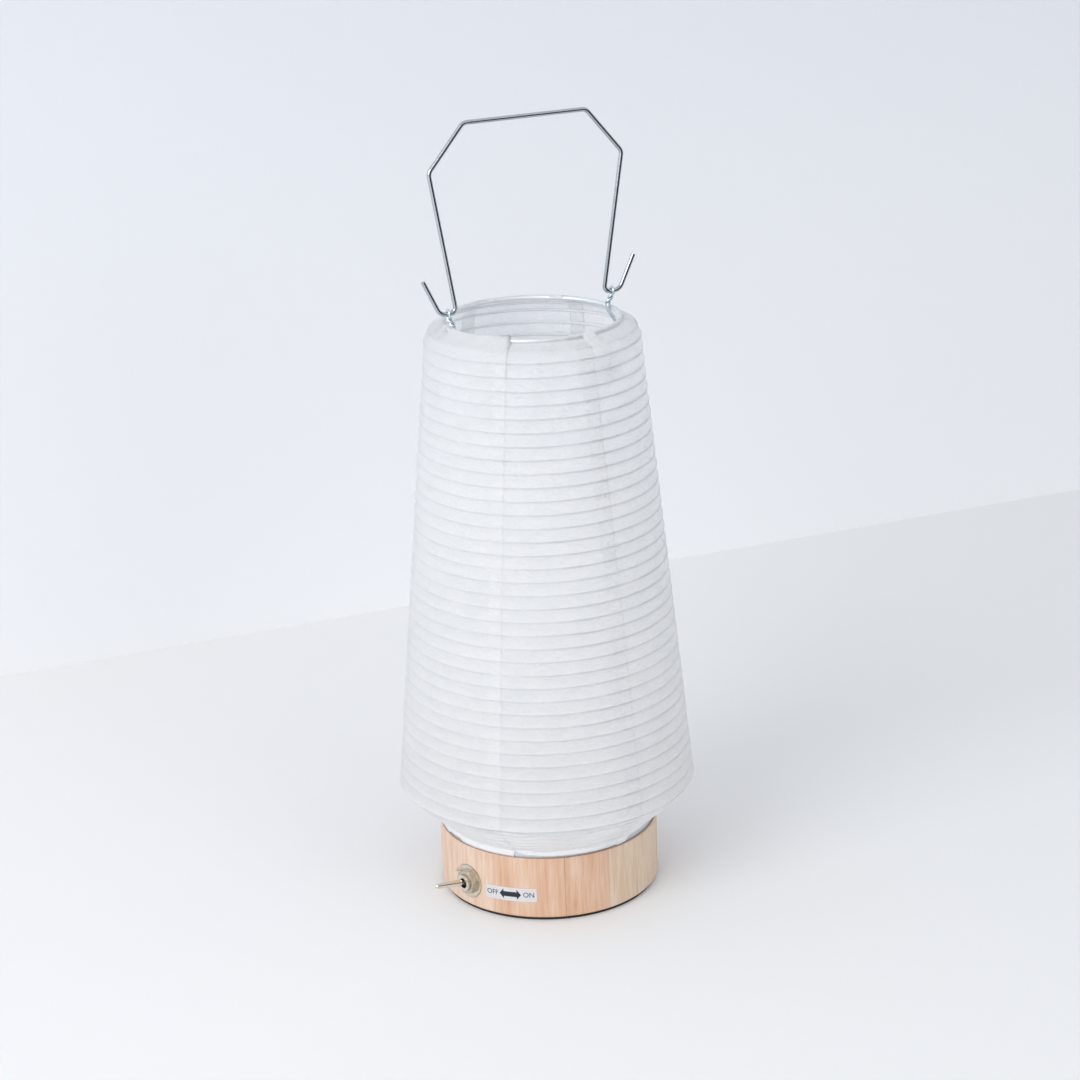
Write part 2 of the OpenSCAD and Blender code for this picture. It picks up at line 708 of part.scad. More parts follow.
module straight(a, b, cut_a, cut_b, d) {
    u = unit(b - a);
    from = a + cut_a * u;
    length = norm(b - a) - cut_a - cut_b;
    translate([from[0], 0, from[1]]) rotate([0, atan2(u[0], u[1]), 0])
        cylinder(h = length, d = d, $fn = wire_fn);
}

function turn_tan(a, b, c) = 1 / tan(acos(unit(a - b) * unit(c - b)) / 2);

module half_bail() {
    p = concat(bail_half, [[0, bail_h]]);
    tans = [for (i = [1:4]) turn_tan(p[i - 1], p[i], p[i + 1])];
    bends = [for (i = [0:3]) i < 2 ? bail_tangent[i] / tans[i] : bail_bend_r];
    cuts = concat([wire_lap], [for (i = [0:3]) bends[i] * tans[i]]);
    for (i = [1:4]) bend(p[i - 1], p[i], p[i + 1], bends[i - 1], bail_wire_d);
    for (i = [0:3])
        straight(p[i], p[i + 1], cuts[i] - wire_lap, cuts[i + 1] - wire_lap, bail_wire_d - 2 * wire_step);
}

module bail() {
    bend_cut = bail_bend_r * turn_tan(bail_half[3], bail_half[4], [0, bail_h]);
    top_l = 2 * (bail_top_w - bend_cut + wire_lap);
    color(steel_color) translate([0, 0, hinge_z]) {
        half_bail();
        mirror([1, 0, 0]) half_bail();
        translate([-top_l / 2, 0, bail_h]) rotate([0, 90, 0])
            cylinder(h = top_l, d = bail_wire_d - 2 * wire_step, $fn = wire_fn);
    }
}

wooden_base();
foot_ring();
bottom_cover();
cover_screws();
label();
battery_holder();
cell_near();
cell_far();
series_link();
spring_contact();
plate_contact();
led_board();
led_lens();
resistor();
board_screws();
lead_red();
lead_white();
lead_black();
switch_body();
switch_bushing();
switch_terminals();
lock_ring();
hex_nut();
toggle_lever();
bottom_band();
band_pins();
paper_panel(1);  // paper_panel_1
paper_panel(2);  // paper_panel_2
paper_panel(3);  // paper_panel_3
paper_panel(4);  // paper_panel_4
paper_panel(5);  // paper_panel_5
paper_panel(6);  // paper_panel_6
hoops();
rim_ring();
left_ear();
right_ear();
bail();
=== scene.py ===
# %% [markdown]
# # Paper table lamp
# A battery lamp built like a Japanese paper lantern: washi pasted over thin hoops, a turned wooden
# base with a toggle switch, and a galvanised wire bail. Every piece could be modelled here from
# nothing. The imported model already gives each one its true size, place and body, so this script
# dresses those, and makes again only what is too soft or too fine for it: the paper strips with
# their folds, laps and wrinkles, the twisted ears, and the label with its print.

# %% Frame
import json
import math

import bmesh
import bpy
import numpy as np
from mathutils import Matrix, Vector


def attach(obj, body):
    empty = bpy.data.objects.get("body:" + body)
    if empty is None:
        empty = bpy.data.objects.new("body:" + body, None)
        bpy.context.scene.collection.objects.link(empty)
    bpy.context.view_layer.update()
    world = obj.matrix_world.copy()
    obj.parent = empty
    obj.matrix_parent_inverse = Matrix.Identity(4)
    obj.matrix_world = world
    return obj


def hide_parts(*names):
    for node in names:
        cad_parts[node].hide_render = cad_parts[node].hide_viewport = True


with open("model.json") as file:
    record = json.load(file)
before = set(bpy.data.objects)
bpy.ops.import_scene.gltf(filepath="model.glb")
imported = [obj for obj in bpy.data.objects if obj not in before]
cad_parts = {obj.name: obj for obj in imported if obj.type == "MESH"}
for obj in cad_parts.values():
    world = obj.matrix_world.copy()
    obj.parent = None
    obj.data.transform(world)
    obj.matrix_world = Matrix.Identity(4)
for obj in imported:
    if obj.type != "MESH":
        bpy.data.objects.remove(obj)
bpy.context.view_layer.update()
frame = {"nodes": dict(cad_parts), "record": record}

nodes = frame["nodes"]
MM = 0.001

# %% [markdown]
# ## Sizes
# These are the lamp's own sizes in millimetres, as in its construction, with angles in degrees,
# counted to the left from +X when the lamp is seen from above. They could be measured on the
# loaded pieces. A few named values read better, and everything further down is worked out from
# them, so that each new piece meets its neighbours.

# %% Sizes
BASE_R, TOP_Z = 40.0, 24.5
BAND_R, BAND_H = 38.9, 3.0
HOOPS, HOOP_PITCH, HOOP_LOW_Z = 36, 4.7, 41.6
HOOP_R_LOW, HOOP_R_HIGH = 54.0, 38.0
HOOP_HIGH_Z = HOOP_LOW_Z + (HOOPS - 1) * HOOP_PITCH
RIM_R, RIM_Z, RIM_WIRE = 30.8, HOOP_HIGH_Z + 6.1, 1.6
SHOULDER_R = RIM_R + 0.8 * (HOOP_R_HIGH - RIM_R)
SHOULDER_Z = HOOP_HIGH_Z + 0.57 * (RIM_Z - HOOP_HIGH_Z)
HINGE_Z = RIM_Z + 5.8
BAIL_WIRE, EAR_WIRE = 1.6, 1.0
SWITCH_ANGLE, PIN_AT = 197.95, (-38.943, -12.616, 10.6)
LABEL_ANGLE, LABEL_Z, LABEL_TILT = SWITCH_ANGLE + 26.2, 9.85, 1.75
LABEL_W, LABEL_H, CORNER_MM = 19.9, 5.25, 0.8
print("height of the rim:", RIM_Z, "mm; widest hoop:", 2 * HOOP_R_LOW, "mm")

# %% [markdown]
# ## Colours
# A shader works with linear numbers, while a colour is written as a hex value such as #E3B999.
# Each colour could be typed in as three linear numbers, but nobody can picture those. So hex
# values are written everywhere, and one function turns them into the numbers a shader wants.


# %% Colour
def srgb(text):
    """The linear colour of a hex value."""
    values = [int(text[i:i + 2], 16) / 255 for i in (1, 3, 5)]
    return tuple(v / 12.92 if v < 0.04045 else ((v + 0.055) / 1.055) ** 2.4 for v in values) + (1.0,)


print("middle grey:", [round(v, 3) for v in srgb("#808080")])

# %% [markdown]
# ## Nodes
# A material is a small network of nodes. It could be wired by hand in the node editor. Here one
# function adds any node with its values, links and settings, and hands back the output that the
# next node needs, so that a material reads like a list of sums. A second one starts a material
# and gives the point's own place in millimetres, since every pattern below has a real size.


# %% Node helper
def add(owner, kind, inputs=None, out=0, stops=None, **settings):
    """Adds one shader node to a material or world and returns its output named or numbered `out`.

    `inputs` gives each socket a plain value or another node's output, `stops` are the places and
    colours or greys of a colour ramp, and the settings are the node's own attributes.
    """
    node = owner.node_tree.nodes.new("ShaderNode" + kind)
    for key, value in settings.items():
        setattr(node, key, value)
    for key, value in (inputs or {}).items():
        if isinstance(value, bpy.types.NodeSocket):
            owner.node_tree.links.new(value, node.inputs[key])
        else:
            node.inputs[key].default_value = value
    for i, (at, color) in enumerate(stops or []):
        elements = node.color_ramp.elements
        e = elements[i] if i < 2 else elements.new(at)
        e.position = at
        e.color = color if isinstance(color, tuple) else (color, color, color, 1.0)
    return node.outputs[out] if node.outputs else None


def new_material(name):
    """An empty material, and the point's own place in it in millimetres."""
    m = bpy.data.materials.new(name)
    m.use_nodes = True
    m.node_tree.nodes.clear()
    metres = add(m, "TexCoord", out="Object")
    return m, add(m, "VectorMath", {0: metres, "Scale": 1000.0}, operation="SCALE")


print("node helper: ready")

# %% [markdown]
# ## Washi
# Washi is hand-laid mulberry paper: white with a cold tint, soft and quite matt, and full of long
# fibres. It could be one matt shader, or one with light scattered under its skin. The first is
# dead and dark inside the shade, the second turns a double sheet yellow. So a matt share is mixed
# with one that lets the light through: the mouth of the shade then glows, and so does the side
# away from the window. First come the real sizes of what can be seen in such a sheet.

# %% Sizes in the paper
FIBRE_MM = 0.9      # real fibres are 0.02 mm thick: drawn coarser, so that they show at all
STRAND_MM = 3.0     # bundles of long fibres that were not beaten apart
CRUMPLE_MM = 3.2    # dents left as the wet paper dried
CLOUD_MM = 8.0      # thick and thin places of a hand-laid sheet
DRIFT_MM = 25.0     # how far a hoop stays true, as each one is set and pasted by hand
PASTE_AT, PASTE_MM = (12.6, -37.4, 202.0), 8.0
# shares of the light that goes through: at the foot, over the hoops, and how much more at the mouth
CLEAR_FOOT, CLEAR_SHADE, CLEARER_MOUTH = 0.3, 0.66, 0.08
MOUTH_ZONE = 160.0, 205.0    # the heights between which that grows
print("washi: fibres", FIBRE_MM, "mm, strands", STRAND_MM, "mm, dents", CRUMPLE_MM, "mm")

# %% [markdown]
# A hoop behind the paper shows as a fine grey line: its shadow through the paper, which lies tight on it.
# The hoops are there behind it, and their shadow could be enough, but alone it is too faint and too soft.
# So the line is drawn as well, as painted shade, from the height alone, since the hoops are evenly spaced.
# It fades where the paper lies double, and it is drawn fainter on the side towards the window, as painted
# light.


# %% Hoop lines
def hoop_lines(m, x, z, drift, lap):
    """How much painted shade of a hoop lies on the paper over it."""
    # the count rises by one from hoop to hoop, a little unsteady, with a line at each whole number
    count = add(m, "MapRange", {"Value": z, "From Min": HOOP_LOW_Z, "From Max": HOOP_LOW_Z + HOOP_PITCH},
                clamp=False)
    count = add(m, "Math", {0: drift, 1: 0.1, 2: count}, operation="MULTIPLY_ADD")
    off = add(m, "Math", {0: count, 1: 0.5}, operation="PINGPONG")
    line = add(m, "ValToRGB", {0: off}, stops=[(0.0, 1.0), (0.045, 0.85), (0.1, 0.0)])
    above = add(m, "Math", {0: z, 1: HOOP_LOW_Z - 0.4 * HOOP_PITCH}, operation="GREATER_THAN")
    below = add(m, "Math", {0: z, 1: HOOP_HIGH_Z + 0.3 * HOOP_PITCH}, operation="LESS_THAN")
    # painted light: towards -X, the side lit by the window, the lines are drawn fainter
    thick = add(m, "MapRange", {"Value": x, "From Min": -BASE_R, "From Max": 0.0, "To Min": 0.3,
                                "To Max": 1.0})
    depth = add(m, "ValToRGB", {0: drift}, stops=[(0.3, 0.08), (0.7, 0.26)])
    single = add(m, "Math", {0: lap}, operation="ABSOLUTE")
    single = add(m, "Math", {0: single, 1: -1.5, 2: 1.0}, operation="MULTIPLY_ADD")
    for share in (above, below, thick, depth, single):
        line = add(m, "Math", {0: line, 1: share}, operation="MULTIPLY")
    return line


print("hoop lines: one every", HOOP_PITCH, "mm")

# %% [markdown]
# Below the lowest hoop the paper is gathered in towards the base, in loose folds that run round it. The
# deep ones are in the mesh. The many fine ones could be there too, but would need rows much closer than the
# rest, so their shade is painted instead, as dark lines of noise that is stretched sideways.


# %% Folds of the belly
def belly_folds(m, here, z):
    """How much painted shade lies in a fine fold below the lowest hoop."""
    fold_way = add(m, "Mapping", {"Vector": here, "Scale": (0.05, 0.05, 0.6)})
    folds = add(m, "TexNoise", {"Vector": fold_way, "Scale": 1.0, "Detail": 2, "Distortion": 0.3})
    folds = add(m, "Math", {0: folds, 1: 0.5}, operation="SUBTRACT")
    folds = add(m, "Math", {0: folds}, operation="ABSOLUTE")
    folds = add(m, "ValToRGB", {0: folds}, stops=[(0.0, 0.25), (0.03, 0.0)])
    low = add(m, "Math", {0: z, 1: HOOP_LOW_Z - 0.5}, operation="LESS_THAN")
    return add(m, "Math", {0: folds, 1: low}, operation="MULTIPLY")


print("belly folds: below", HOOP_LOW_Z, "mm")

# %% [markdown]
# Now the sheet itself. In a lap the paste makes both sheets clearer. The shader can't see that a
# sheet lies double, so the strip's mesh carries a value for it, and a double sheet comes out
# hardly whiter than a single one. Dried paste leaves one patch near the mouth crinkled and a
# little shiny. The dents are a bump, as they are too shallow to change the outline.


# %% Washi
def washi():
    """Hand-laid mulberry paper, pasted over the hoops."""
    m, here = new_material("washi_hand_laid")
    split = add(m, "SeparateXYZ", {0: here}).node
    x, z = split.outputs["X"], split.outputs["Z"]
    cloud = add(m, "TexNoise", {"Vector": here, "Scale": 1 / CLOUD_MM})
    drift = add(m, "TexNoise", {"Vector": here, "Scale": 1 / DRIFT_MM})
    flat_way = add(m, "Mapping", {"Vector": here, "Scale": (0.7, 0.7, 1.8)})
    fibres = add(m, "TexNoise", {"Vector": flat_way, "Scale": 1 / FIBRE_MM, "Detail": 4, "Roughness": 0.7})
    crumple = add(m, "TexNoise", {"Vector": flat_way, "Scale": 1 / CRUMPLE_MM, "Detail": 4,
                                  "Distortion": 0.6})
    tangle = add(m, "TexNoise", {"Vector": here, "Scale": 1 / STRAND_MM, "Detail": 4, "Distortion": 6})
    # a strand lies wherever the tangled noise passes its middle value
    strand = add(m, "Math", {0: tangle, 1: 0.5}, operation="SUBTRACT")
    strand = add(m, "Math", {0: strand}, operation="ABSOLUTE")
    strand = add(m, "ValToRGB", {0: strand}, stops=[(0.0, 1.0), (0.014, 0.0)])
    lap = add(m, "Attribute", out="Fac", attribute_name="double", attribute_type="GEOMETRY")
    line, folds = hoop_lines(m, x, z, drift, lap), belly_folds(m, here, z)
    tone = add(m, "Mix", {0: cloud, 6: srgb("#FAFBFC"), 7: srgb("#FFFFFF")}, out=2, data_type="RGBA")
    thin = add(m, "ValToRGB", {0: fibres}, stops=[(0.42, 0.0), (0.62, 0.25)])
    # line and folds are painted shade: a hoop's shadow through the paper, and the shade in the belly's fine
    # folds
    for share, color in ((thin, "#EFF1F4"), (line, "#B4BCC8"), (folds, "#C6CCD4")):
        tone = add(m, "Mix", {0: share, 6: tone, 7: srgb(color)}, out=2, data_type="RGBA")
    away = add(m, "VectorMath", {0: here, 1: PASTE_AT}, out="Value", operation="DISTANCE")
    paste = add(m, "MapRange", {"Value": away, "From Min": PASTE_MM, "From Max": PASTE_MM / 3})
    paste = add(m, "Math", {0: paste, 1: cloud}, operation="MULTIPLY")
    crinkle = add(m, "Math", {0: paste, 1: tangle}, operation="MULTIPLY")
    relief = crumple
    for share, height in ((fibres, 0.16), (strand, 0.1), (crinkle, 2.5)):
        relief = add(m, "Math", {0: share, 1: height, 2: relief}, operation="MULTIPLY_ADD")
    bump = add(m, "Bump", {"Height": relief, "Strength": 0.8, "Distance": 0.5 * MM})
    rough = add(m, "Math", {0: paste, 1: -0.9, 2: 0.85}, operation="MULTIPLY_ADD")
    matt = add(m, "BsdfPrincipled", {"Base Color": tone, "Roughness": rough, "Specular IOR Level": 0.2,
                                     "Normal": bump})
    through = add(m, "BsdfTranslucent", {"Color": tone, "Normal": bump})
    # the paste is thickest at the foot and thinnest at the mouth, and it holds the light back
    clear = add(m, "MapRange", {"Value": z, "From Min": HOOP_LOW_Z - 6, "From Max": HOOP_LOW_Z + 1,
                                "To Min": CLEAR_FOOT, "To Max": CLEAR_SHADE})
    mouth = add(m, "MapRange", {"Value": z, "From Min": MOUTH_ZONE[0], "From Max": MOUTH_ZONE[1],
                                "To Max": CLEARER_MOUTH})
    clear = add(m, "Math", {0: clear, 1: mouth}, operation="ADD")
    clear = add(m, "Math", {0: lap, 1: 0.12, 2: clear}, operation="MULTIPLY_ADD")
    sheet = add(m, "MixShader", {0: clear, 1: matt, 2: through})
    add(m, "OutputMaterial", {"Surface": sheet})
    return m


print("washi:", CLEAR_SHADE, "of the light goes through")

# %% [markdown]
# ## Wood
# The base is turned from glued staves of a pale softwood like cypress, sanded and left bare, with
# the grain standing up. Peach heartwood meets a greyer stave of sapwood along a straight glue
# line. A picture of wood would be quick, but it would not know where this base's glue lines are.
# So the grain is noise stretched along the height, and the lines between staves are placed by
# their angle round the base. First its sizes and the colours of its staves.

# %% Sizes in the wood
GRAIN_MM = 0.3      # wood fibres as they show on a sanded side
RING_MM = 1.5       # growth rings
TONE_MM = 9.0       # slow change of tone in a stave
PAINTED_LIGHT, PAINTED_LIGHT_TO_X = 0.3, -24.0    # painted light: the side towards the window is drawn paler, as far as this X
GLUE_LINE, FAR_GLUE_LINE, DARK_RING, FAINT_RING = 277.5 - 360, 330 - 360, 252.9 - 360, 215.4 - 360
# each line's angle, width, depth and sway
LINES = [(DARK_RING, 0.4, 0.6, 1.6), (GLUE_LINE, 0.3, 0.35, 0.3), (FAR_GLUE_LINE, 0.3, 0.4, 0.3),
         (FAINT_RING, 0.3, 0.3, 0.3)]
print("wood: glue lines at", GLUE_LINE, "and", FAR_GLUE_LINE, "degrees")

# %% [markdown]
# Most of the base is peach heartwood, and one stave of greyer sapwood lies between two glue lines.
# The staves could be separate solids with a material each, but the real base was glued first and
# turned as one piece. So it stays one piece here, and its material looks at the angle.


# %% Staves
def staves(m, x, turn, broad):
    """Heartwood all round, and one stave of sapwood between two glue lines."""
    # painted light: the heartwood is drawn paler towards the window, where the light falls
    painted_light_share = add(m, "MapRange", {"Value": x, "From Min": -BASE_R, "From Max": PAINTED_LIGHT_TO_X,
                                "To Min": PAINTED_LIGHT, "To Max": 0.0})
    tone = add(m, "Math", {0: broad, 1: painted_light_share}, operation="ADD")
    heart = add(m, "ValToRGB", {0: tone}, stops=[(0.3, srgb("#CDA98E")), (0.55, srgb("#D2B29B")),
                                                 (0.75, srgb("#DAC4B2"))])
    sap = add(m, "ValToRGB", {0: broad}, stops=[(0.3, srgb("#CFB9A2")), (0.7, srgb("#D5C5B3"))])
    after = add(m, "Math", {0: turn, 1: GLUE_LINE}, operation="GREATER_THAN")
    before = add(m, "Math", {0: turn, 1: FAR_GLUE_LINE}, operation="LESS_THAN")
    stave = add(m, "Math", {0: after, 1: before}, operation="MULTIPLY")
    return add(m, "Mix", {0: stave, 6: heart, 7: sap}, out=2, data_type="RGBA")


print("staves: heartwood and one of sapwood")

# %% [markdown]
# Each glue line, and each dark growth ring, is a narrow brown line at its own angle. It could be painted on
# a picture of the wood. Here the distance from that angle draws it, and a glue line is straight where a
# ring sways. The narrow ledge outside the band is painted dark: painted shade in the gap between the wood's
# edge and the band.

# %% Marks on the wood
LEDGE_SHADE = 0.5    # how dark the painted shade on the ledge is, as a share of the dark colour


def marked(m, color, here, z, turn, broad):
    """The wood's colour with its lines, and with painted shade on the ledge."""
    for at, width, depth, sway in LINES:
        bend = add(m, "Math", {0: broad, 1: sway, 2: turn}, operation="MULTIPLY_ADD")
        off = add(m, "Math", {0: bend, 1: at + sway / 2}, operation="SUBTRACT")
        off = add(m, "Math", {0: off}, operation="ABSOLUTE")
        mark = add(m, "MapRange", {"Value": off, "From Min": 0.0, "From Max": width, "To Min": depth,
                                   "To Max": 0.0})
        color = add(m, "Mix", {0: mark, 6: color, 7: srgb("#9A6240")}, out=2, data_type="RGBA")
    # painted shade on the narrow ledge outside the band
    on_top = add(m, "Math", {0: z, 1: TOP_Z - 0.15}, operation="GREATER_THAN")
    flat_here = add(m, "VectorMath", {0: here, 1: (1, 1, 0)}, operation="MULTIPLY")
    out_r = add(m, "VectorMath", {0: flat_here}, out="Value", operation="LENGTH")
    outside = add(m, "Math", {0: out_r, 1: BAND_R - 0.5}, operation="GREATER_THAN")
    ledge = add(m, "Math", {0: on_top, 1: outside}, operation="MULTIPLY")
    ledge = add(m, "Math", {0: ledge, 1: LEDGE_SHADE}, operation="MULTIPLY")
    return add(m, "Mix", {0: ledge, 6: color, 7: srgb("#6E4E3A")}, out=2, data_type="RGBA")


print("marks on the wood:", len(LINES), "lines and the ledge")

# %% [markdown]
# Sanded softwood shows three sizes at once: fibres, growth rings and a slow change of tone. One
# noise can't show them all, so three are laid over each other, each drawn out along the height,
# as wood grows. The fibres also give the bump and the roughness, since sanding leaves them standing.


# %% Wood
def wood():
    """Glued staves of cypress, turned and sanded."""
    m, here = new_material("cypress_turned_and_sanded")
    split = add(m, "SeparateXYZ", {0: here}).node
    x, y, z = (split.outputs[axis] for axis in "XYZ")
    turn = add(m, "Math", {0: y, 1: x}, operation="ARCTAN2")
    turn = add(m, "Math", {0: turn, 1: 180 / math.pi}, operation="MULTIPLY")
    grain_way = add(m, "Mapping", {"Vector": here, "Scale": (1, 1, 0.04)})
    ring_way = add(m, "Mapping", {"Vector": here, "Scale": (1, 1, 0.05)})
    tone_way = add(m, "Mapping", {"Vector": here, "Scale": (1, 1, 0.3)})
    grain = add(m, "TexNoise", {"Vector": grain_way, "Scale": 1 / GRAIN_MM, "Detail": 3, "Roughness": 0.55})
    rings = add(m, "TexNoise", {"Vector": ring_way, "Scale": 1 / RING_MM, "Detail": 3, "Roughness": 0.5})
    broad = add(m, "TexNoise", {"Vector": tone_way, "Scale": 1 / TONE_MM, "Detail": 2})
    color = staves(m, x, turn, broad)
    veins = add(m, "ValToRGB", {0: rings}, stops=[(0.32, srgb("#EFDCCB")), (0.58, srgb("#FFFFFF"))])
    hairs = add(m, "ValToRGB", {0: grain}, stops=[(0.34, srgb("#E9D3C0")), (0.56, srgb("#FFFFFF"))])
    for share, stain in ((0.6, veins), (0.45, hairs)):
        color = add(m, "Mix", {0: share, 6: color, 7: stain}, out=2, data_type="RGBA",
                    blend_type="MULTIPLY")
    color = marked(m, color, here, z, turn, broad)
    bump = add(m, "Bump", {"Height": grain, "Strength": 0.3, "Distance": 0.08 * MM})
    rough = add(m, "MapRange", {"Value": grain, "From Min": 0.3, "From Max": 0.7, "To Min": 0.62,
                                "To Max": 0.5})
    shader = add(m, "BsdfPrincipled", {"Base Color": color, "Roughness": rough, "Normal": bump})
    add(m, "OutputMaterial", {"Surface": shader})
    return m


print("wood: fibres", GRAIN_MM, "mm, growth rings", RING_MM, "mm")

# %% [markdown]
# ## Metal
# Nearly every metal part here is plated or galvanised: the wire is drawn and zinc plated, the
# band is sheet dipped in zinc, the switch is nickel plated. Each could get its own network. One
# recipe serves them all, since they differ in colour, in polish and in the size of their blotches.
# The blotches change the roughness as well as the colour, as a worn plating catches the light unevenly. The
# hole of the switch, round the lever's ball, lies in shade, so the recipe can paint shade on whatever lies
# close to the lever's pin.

# %% Metal
HOLE_SHADE_REACH, HOLE_SHADE_EDGE = 2.1, 0.2    # millimetres from the lever's pin, and the thin edge of the painted shade


def metal(name, light, dark, rough, blotch_mm, depth_mm=0.01, hole_shaded=False):
    """A plated metal with blotches `blotch_mm` wide."""
    m, here = new_material(name)
    cloud = add(m, "TexNoise", {"Vector": here, "Scale": 1 / blotch_mm, "Detail": 5})
    color = add(m, "Mix", {0: cloud, 6: srgb(dark), 7: srgb(light)}, out=2, data_type="RGBA")
    # painted shade: the metal is darkened close to the lever's pin, where the switch's hole lies in shade
    if hole_shaded:
        off = add(m, "VectorMath", {0: here, 1: PIN_AT}, out="Value", operation="DISTANCE")
        film = add(m, "MapRange", {"Value": off, "From Min": HOLE_SHADE_REACH,
                                   "From Max": HOLE_SHADE_REACH - HOLE_SHADE_EDGE})
        color = add(m, "Mix", {0: film, 6: color, 7: srgb("#38322C")}, out=2, data_type="RGBA")
    rough = add(m, "MapRange", {"Value": cloud, "From Min": 0.3, "From Max": 0.7, "To Min": rough * 0.8,
                                "To Max": rough * 1.25})
    bump = add(m, "Bump", {"Height": cloud, "Strength": 0.2, "Distance": depth_mm * MM})
    shader = add(m, "BsdfPrincipled", {"Base Color": color, "Metallic": 1.0, "Roughness": rough,
                                       "Normal": bump})
    add(m, "OutputMaterial", {"Surface": shader})
    return m


# what this prints is how far the painted shade in the switch's hole reaches
print("metal: grease reaches", HOLE_SHADE_REACH, "mm from the pin")

# %% [markdown]
# ## Plastic, sticker and print
# Moulded plastic, foam, wire covers, the sticker and its print have no grain to speak of. A single
# flat colour would look like nothing real, so each gets a faint change of tone and the fine
# texture of its mould or of its film, from one more recipe.


# %% Plastic and print
def plain(name, light, dark, rough, grain_mm=1.0, depth_mm=0.05):
    """An even surface with a texture whose dents are `grain_mm` wide."""
    m, here = new_material(name)
    cloud = add(m, "TexNoise", {"Vector": here, "Scale": 1 / grain_mm, "Detail": 4})
    color = add(m, "Mix", {0: cloud, 6: srgb(dark), 7: srgb(light)}, out=2, data_type="RGBA")
    bump = add(m, "Bump", {"Height": cloud, "Strength": 0.2, "Distance": depth_mm * MM})
    rough = add(m, "MapRange", {"Value": cloud, "From Min": 0.3, "From Max": 0.7, "To Min": rough * 0.85,
                                "To Max": min(1.0, rough * 1.15)})
    shader = add(m, "BsdfPrincipled", {"Base Color": color, "Roughness": rough, "Normal": bump})
    add(m, "OutputMaterial", {"Surface": shader})
    return m


print("plain: one recipe for plastic, sticker and print")

# %% [markdown]
# ## Which piece gets which material
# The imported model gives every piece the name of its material. A look could be made for each piece
# by hand. Instead each name gets one recipe with the numbers of the real stuff, and the comments
# say what it gives the eye. Four pieces differ from the rest of their kind and get their own.

# %% Materials of the pieces
mats = {
    # matt white that glows against the light
    "washi": washi(),
    # warm peach with fine upright streaks
    "wood": wood(),
    # split bamboo, pale with paste: a soft grey line inside the shade
    "bamboo": plain("split_bamboo_pasted", "#E6E8EB", "#D6D9DD", 0.6, 1.2),
    # drawn steel wire, bright zinc plated: a crisp light edge beside a dark one
    "zinc_wire": metal("drawn_wire_bright_zinc", "#C6CBD0", "#A6ACB2", 0.12, 0.7),
    # the same with the blue-white finish: a cold soft shine on the twisted ears
    "ear_wire": metal("drawn_wire_blue_white_zinc", "#E4ECF1", "#C6D2DA", 0.25, 0.7),
    # wire dipped in zinc and rubbed with paste: pale and nearly matt
    "ring_wire": metal("dipped_wire_dull_zinc", "#F1F3F5", "#E3E6E9", 0.6, 1.5, 0.02),
    # rolled steel sheet dipped in zinc: a blurred grey-blue with soft blotches
    "zinc_sheet": metal("rolled_sheet_dipped_zinc", "#E2E6EA", "#CFD5DB", 0.5, 2.0, 0.02),
    # turned brass, nickel plated: warm, sharp highlights on the switch
    "nickel": metal("turned_brass_nickel_plated", "#F0EADF", "#CFC6B6", 0.2, 0.9, 0.02),
    # the same, handled and a little dull: the nut stands out darker from the ring under it
    "nut_nickel": metal("turned_brass_dull_nickel", "#D2C9BA", "#BDB3A4", 0.22, 1.2, 0.01),
    # the same round the lever's ball, with painted shade: the switch's dark hole
    "nickel_with_hole_shade": metal("nickel_plate_with_painted_hole_shade", "#F0EADF", "#CFC6B6", 0.2, 0.9, 0.02,
                            hole_shaded=True),
    # moulded ABS and die-cut foam: a near black line under the base
    "black_plastic": plain("black_foam_and_moulded_abs", "#232325", "#161618", 0.7, 0.7),
    # moulded ABS: even off-white
    "white_plastic": plain("white_moulded_abs", "#F3F3F0", "#E6E6E2", 0.45),
    # moulded phenolic of the switch body: satin blue
    "blue_plastic": plain("blue_moulded_phenolic", "#2E4F72", "#243F5C", 0.35),
    # extruded PVC round a lead: satin red
    "red_plastic": plain("red_extruded_pvc", "#C13A3D", "#A92C30", 0.4),
    # cast epoxy of the LED: milky and glossy
    "clear_plastic": plain("milky_cast_epoxy", "#F4F3E6", "#E8E6D4", 0.15),
    # printed PET sleeve shrunk on a cell: smooth slate grey
    "cell_sleeve": plain("grey_shrunk_pet_sleeve", "#566270", "#47525E", 0.3),
    # rolled and tempered spring steel: neutral and fairly bright
    "spring_steel": metal("tempered_spring_steel", "#C4C6C8", "#A5A8AB", 0.28, 1.0),
    # vinyl film with a satin coat: a flat white that is greyer than the paper
    "sticker": plain("white_vinyl_film", "#D0CED0", "#C6C5C8", 0.4, 1.6, 0.01),
    # offset print: soft dark blue and grey shapes without shine
    "ink": plain("dark_blue_print", "#1B2838", "#15202E", 0.75, 1.0, 0.01),
    "grey_ink": plain("grey_print", "#424B57", "#38414C", 0.75, 1.0, 0.01),
}
slots = {s["node"]: s["material_slot"] for s in frame["record"]["subparts"]}
own_finish = {"rim_ring": "ring_wire", "hex_nut": "nut_nickel", "toggle_lever": "nickel_with_hole_shade",
              "switch_bushing": "nickel_with_hole_shade"}
for name, node in nodes.items():
    node.data.materials.clear()
    node.data.materials.append(mats[own_finish.get(name, slots[name])])
print("materials:", len(mats))

# %% [markdown]
# ## A mesh from numbers
# Paper that sinks between hoops could be pushed into shape by hand in the editor, or dropped over
# them by the cloth simulation. But its hoops, laps and folds have known places and depths, so its
# points are worked out, and one function turns points and faces into an object. Smooth shading
# hides the edges between the faces.


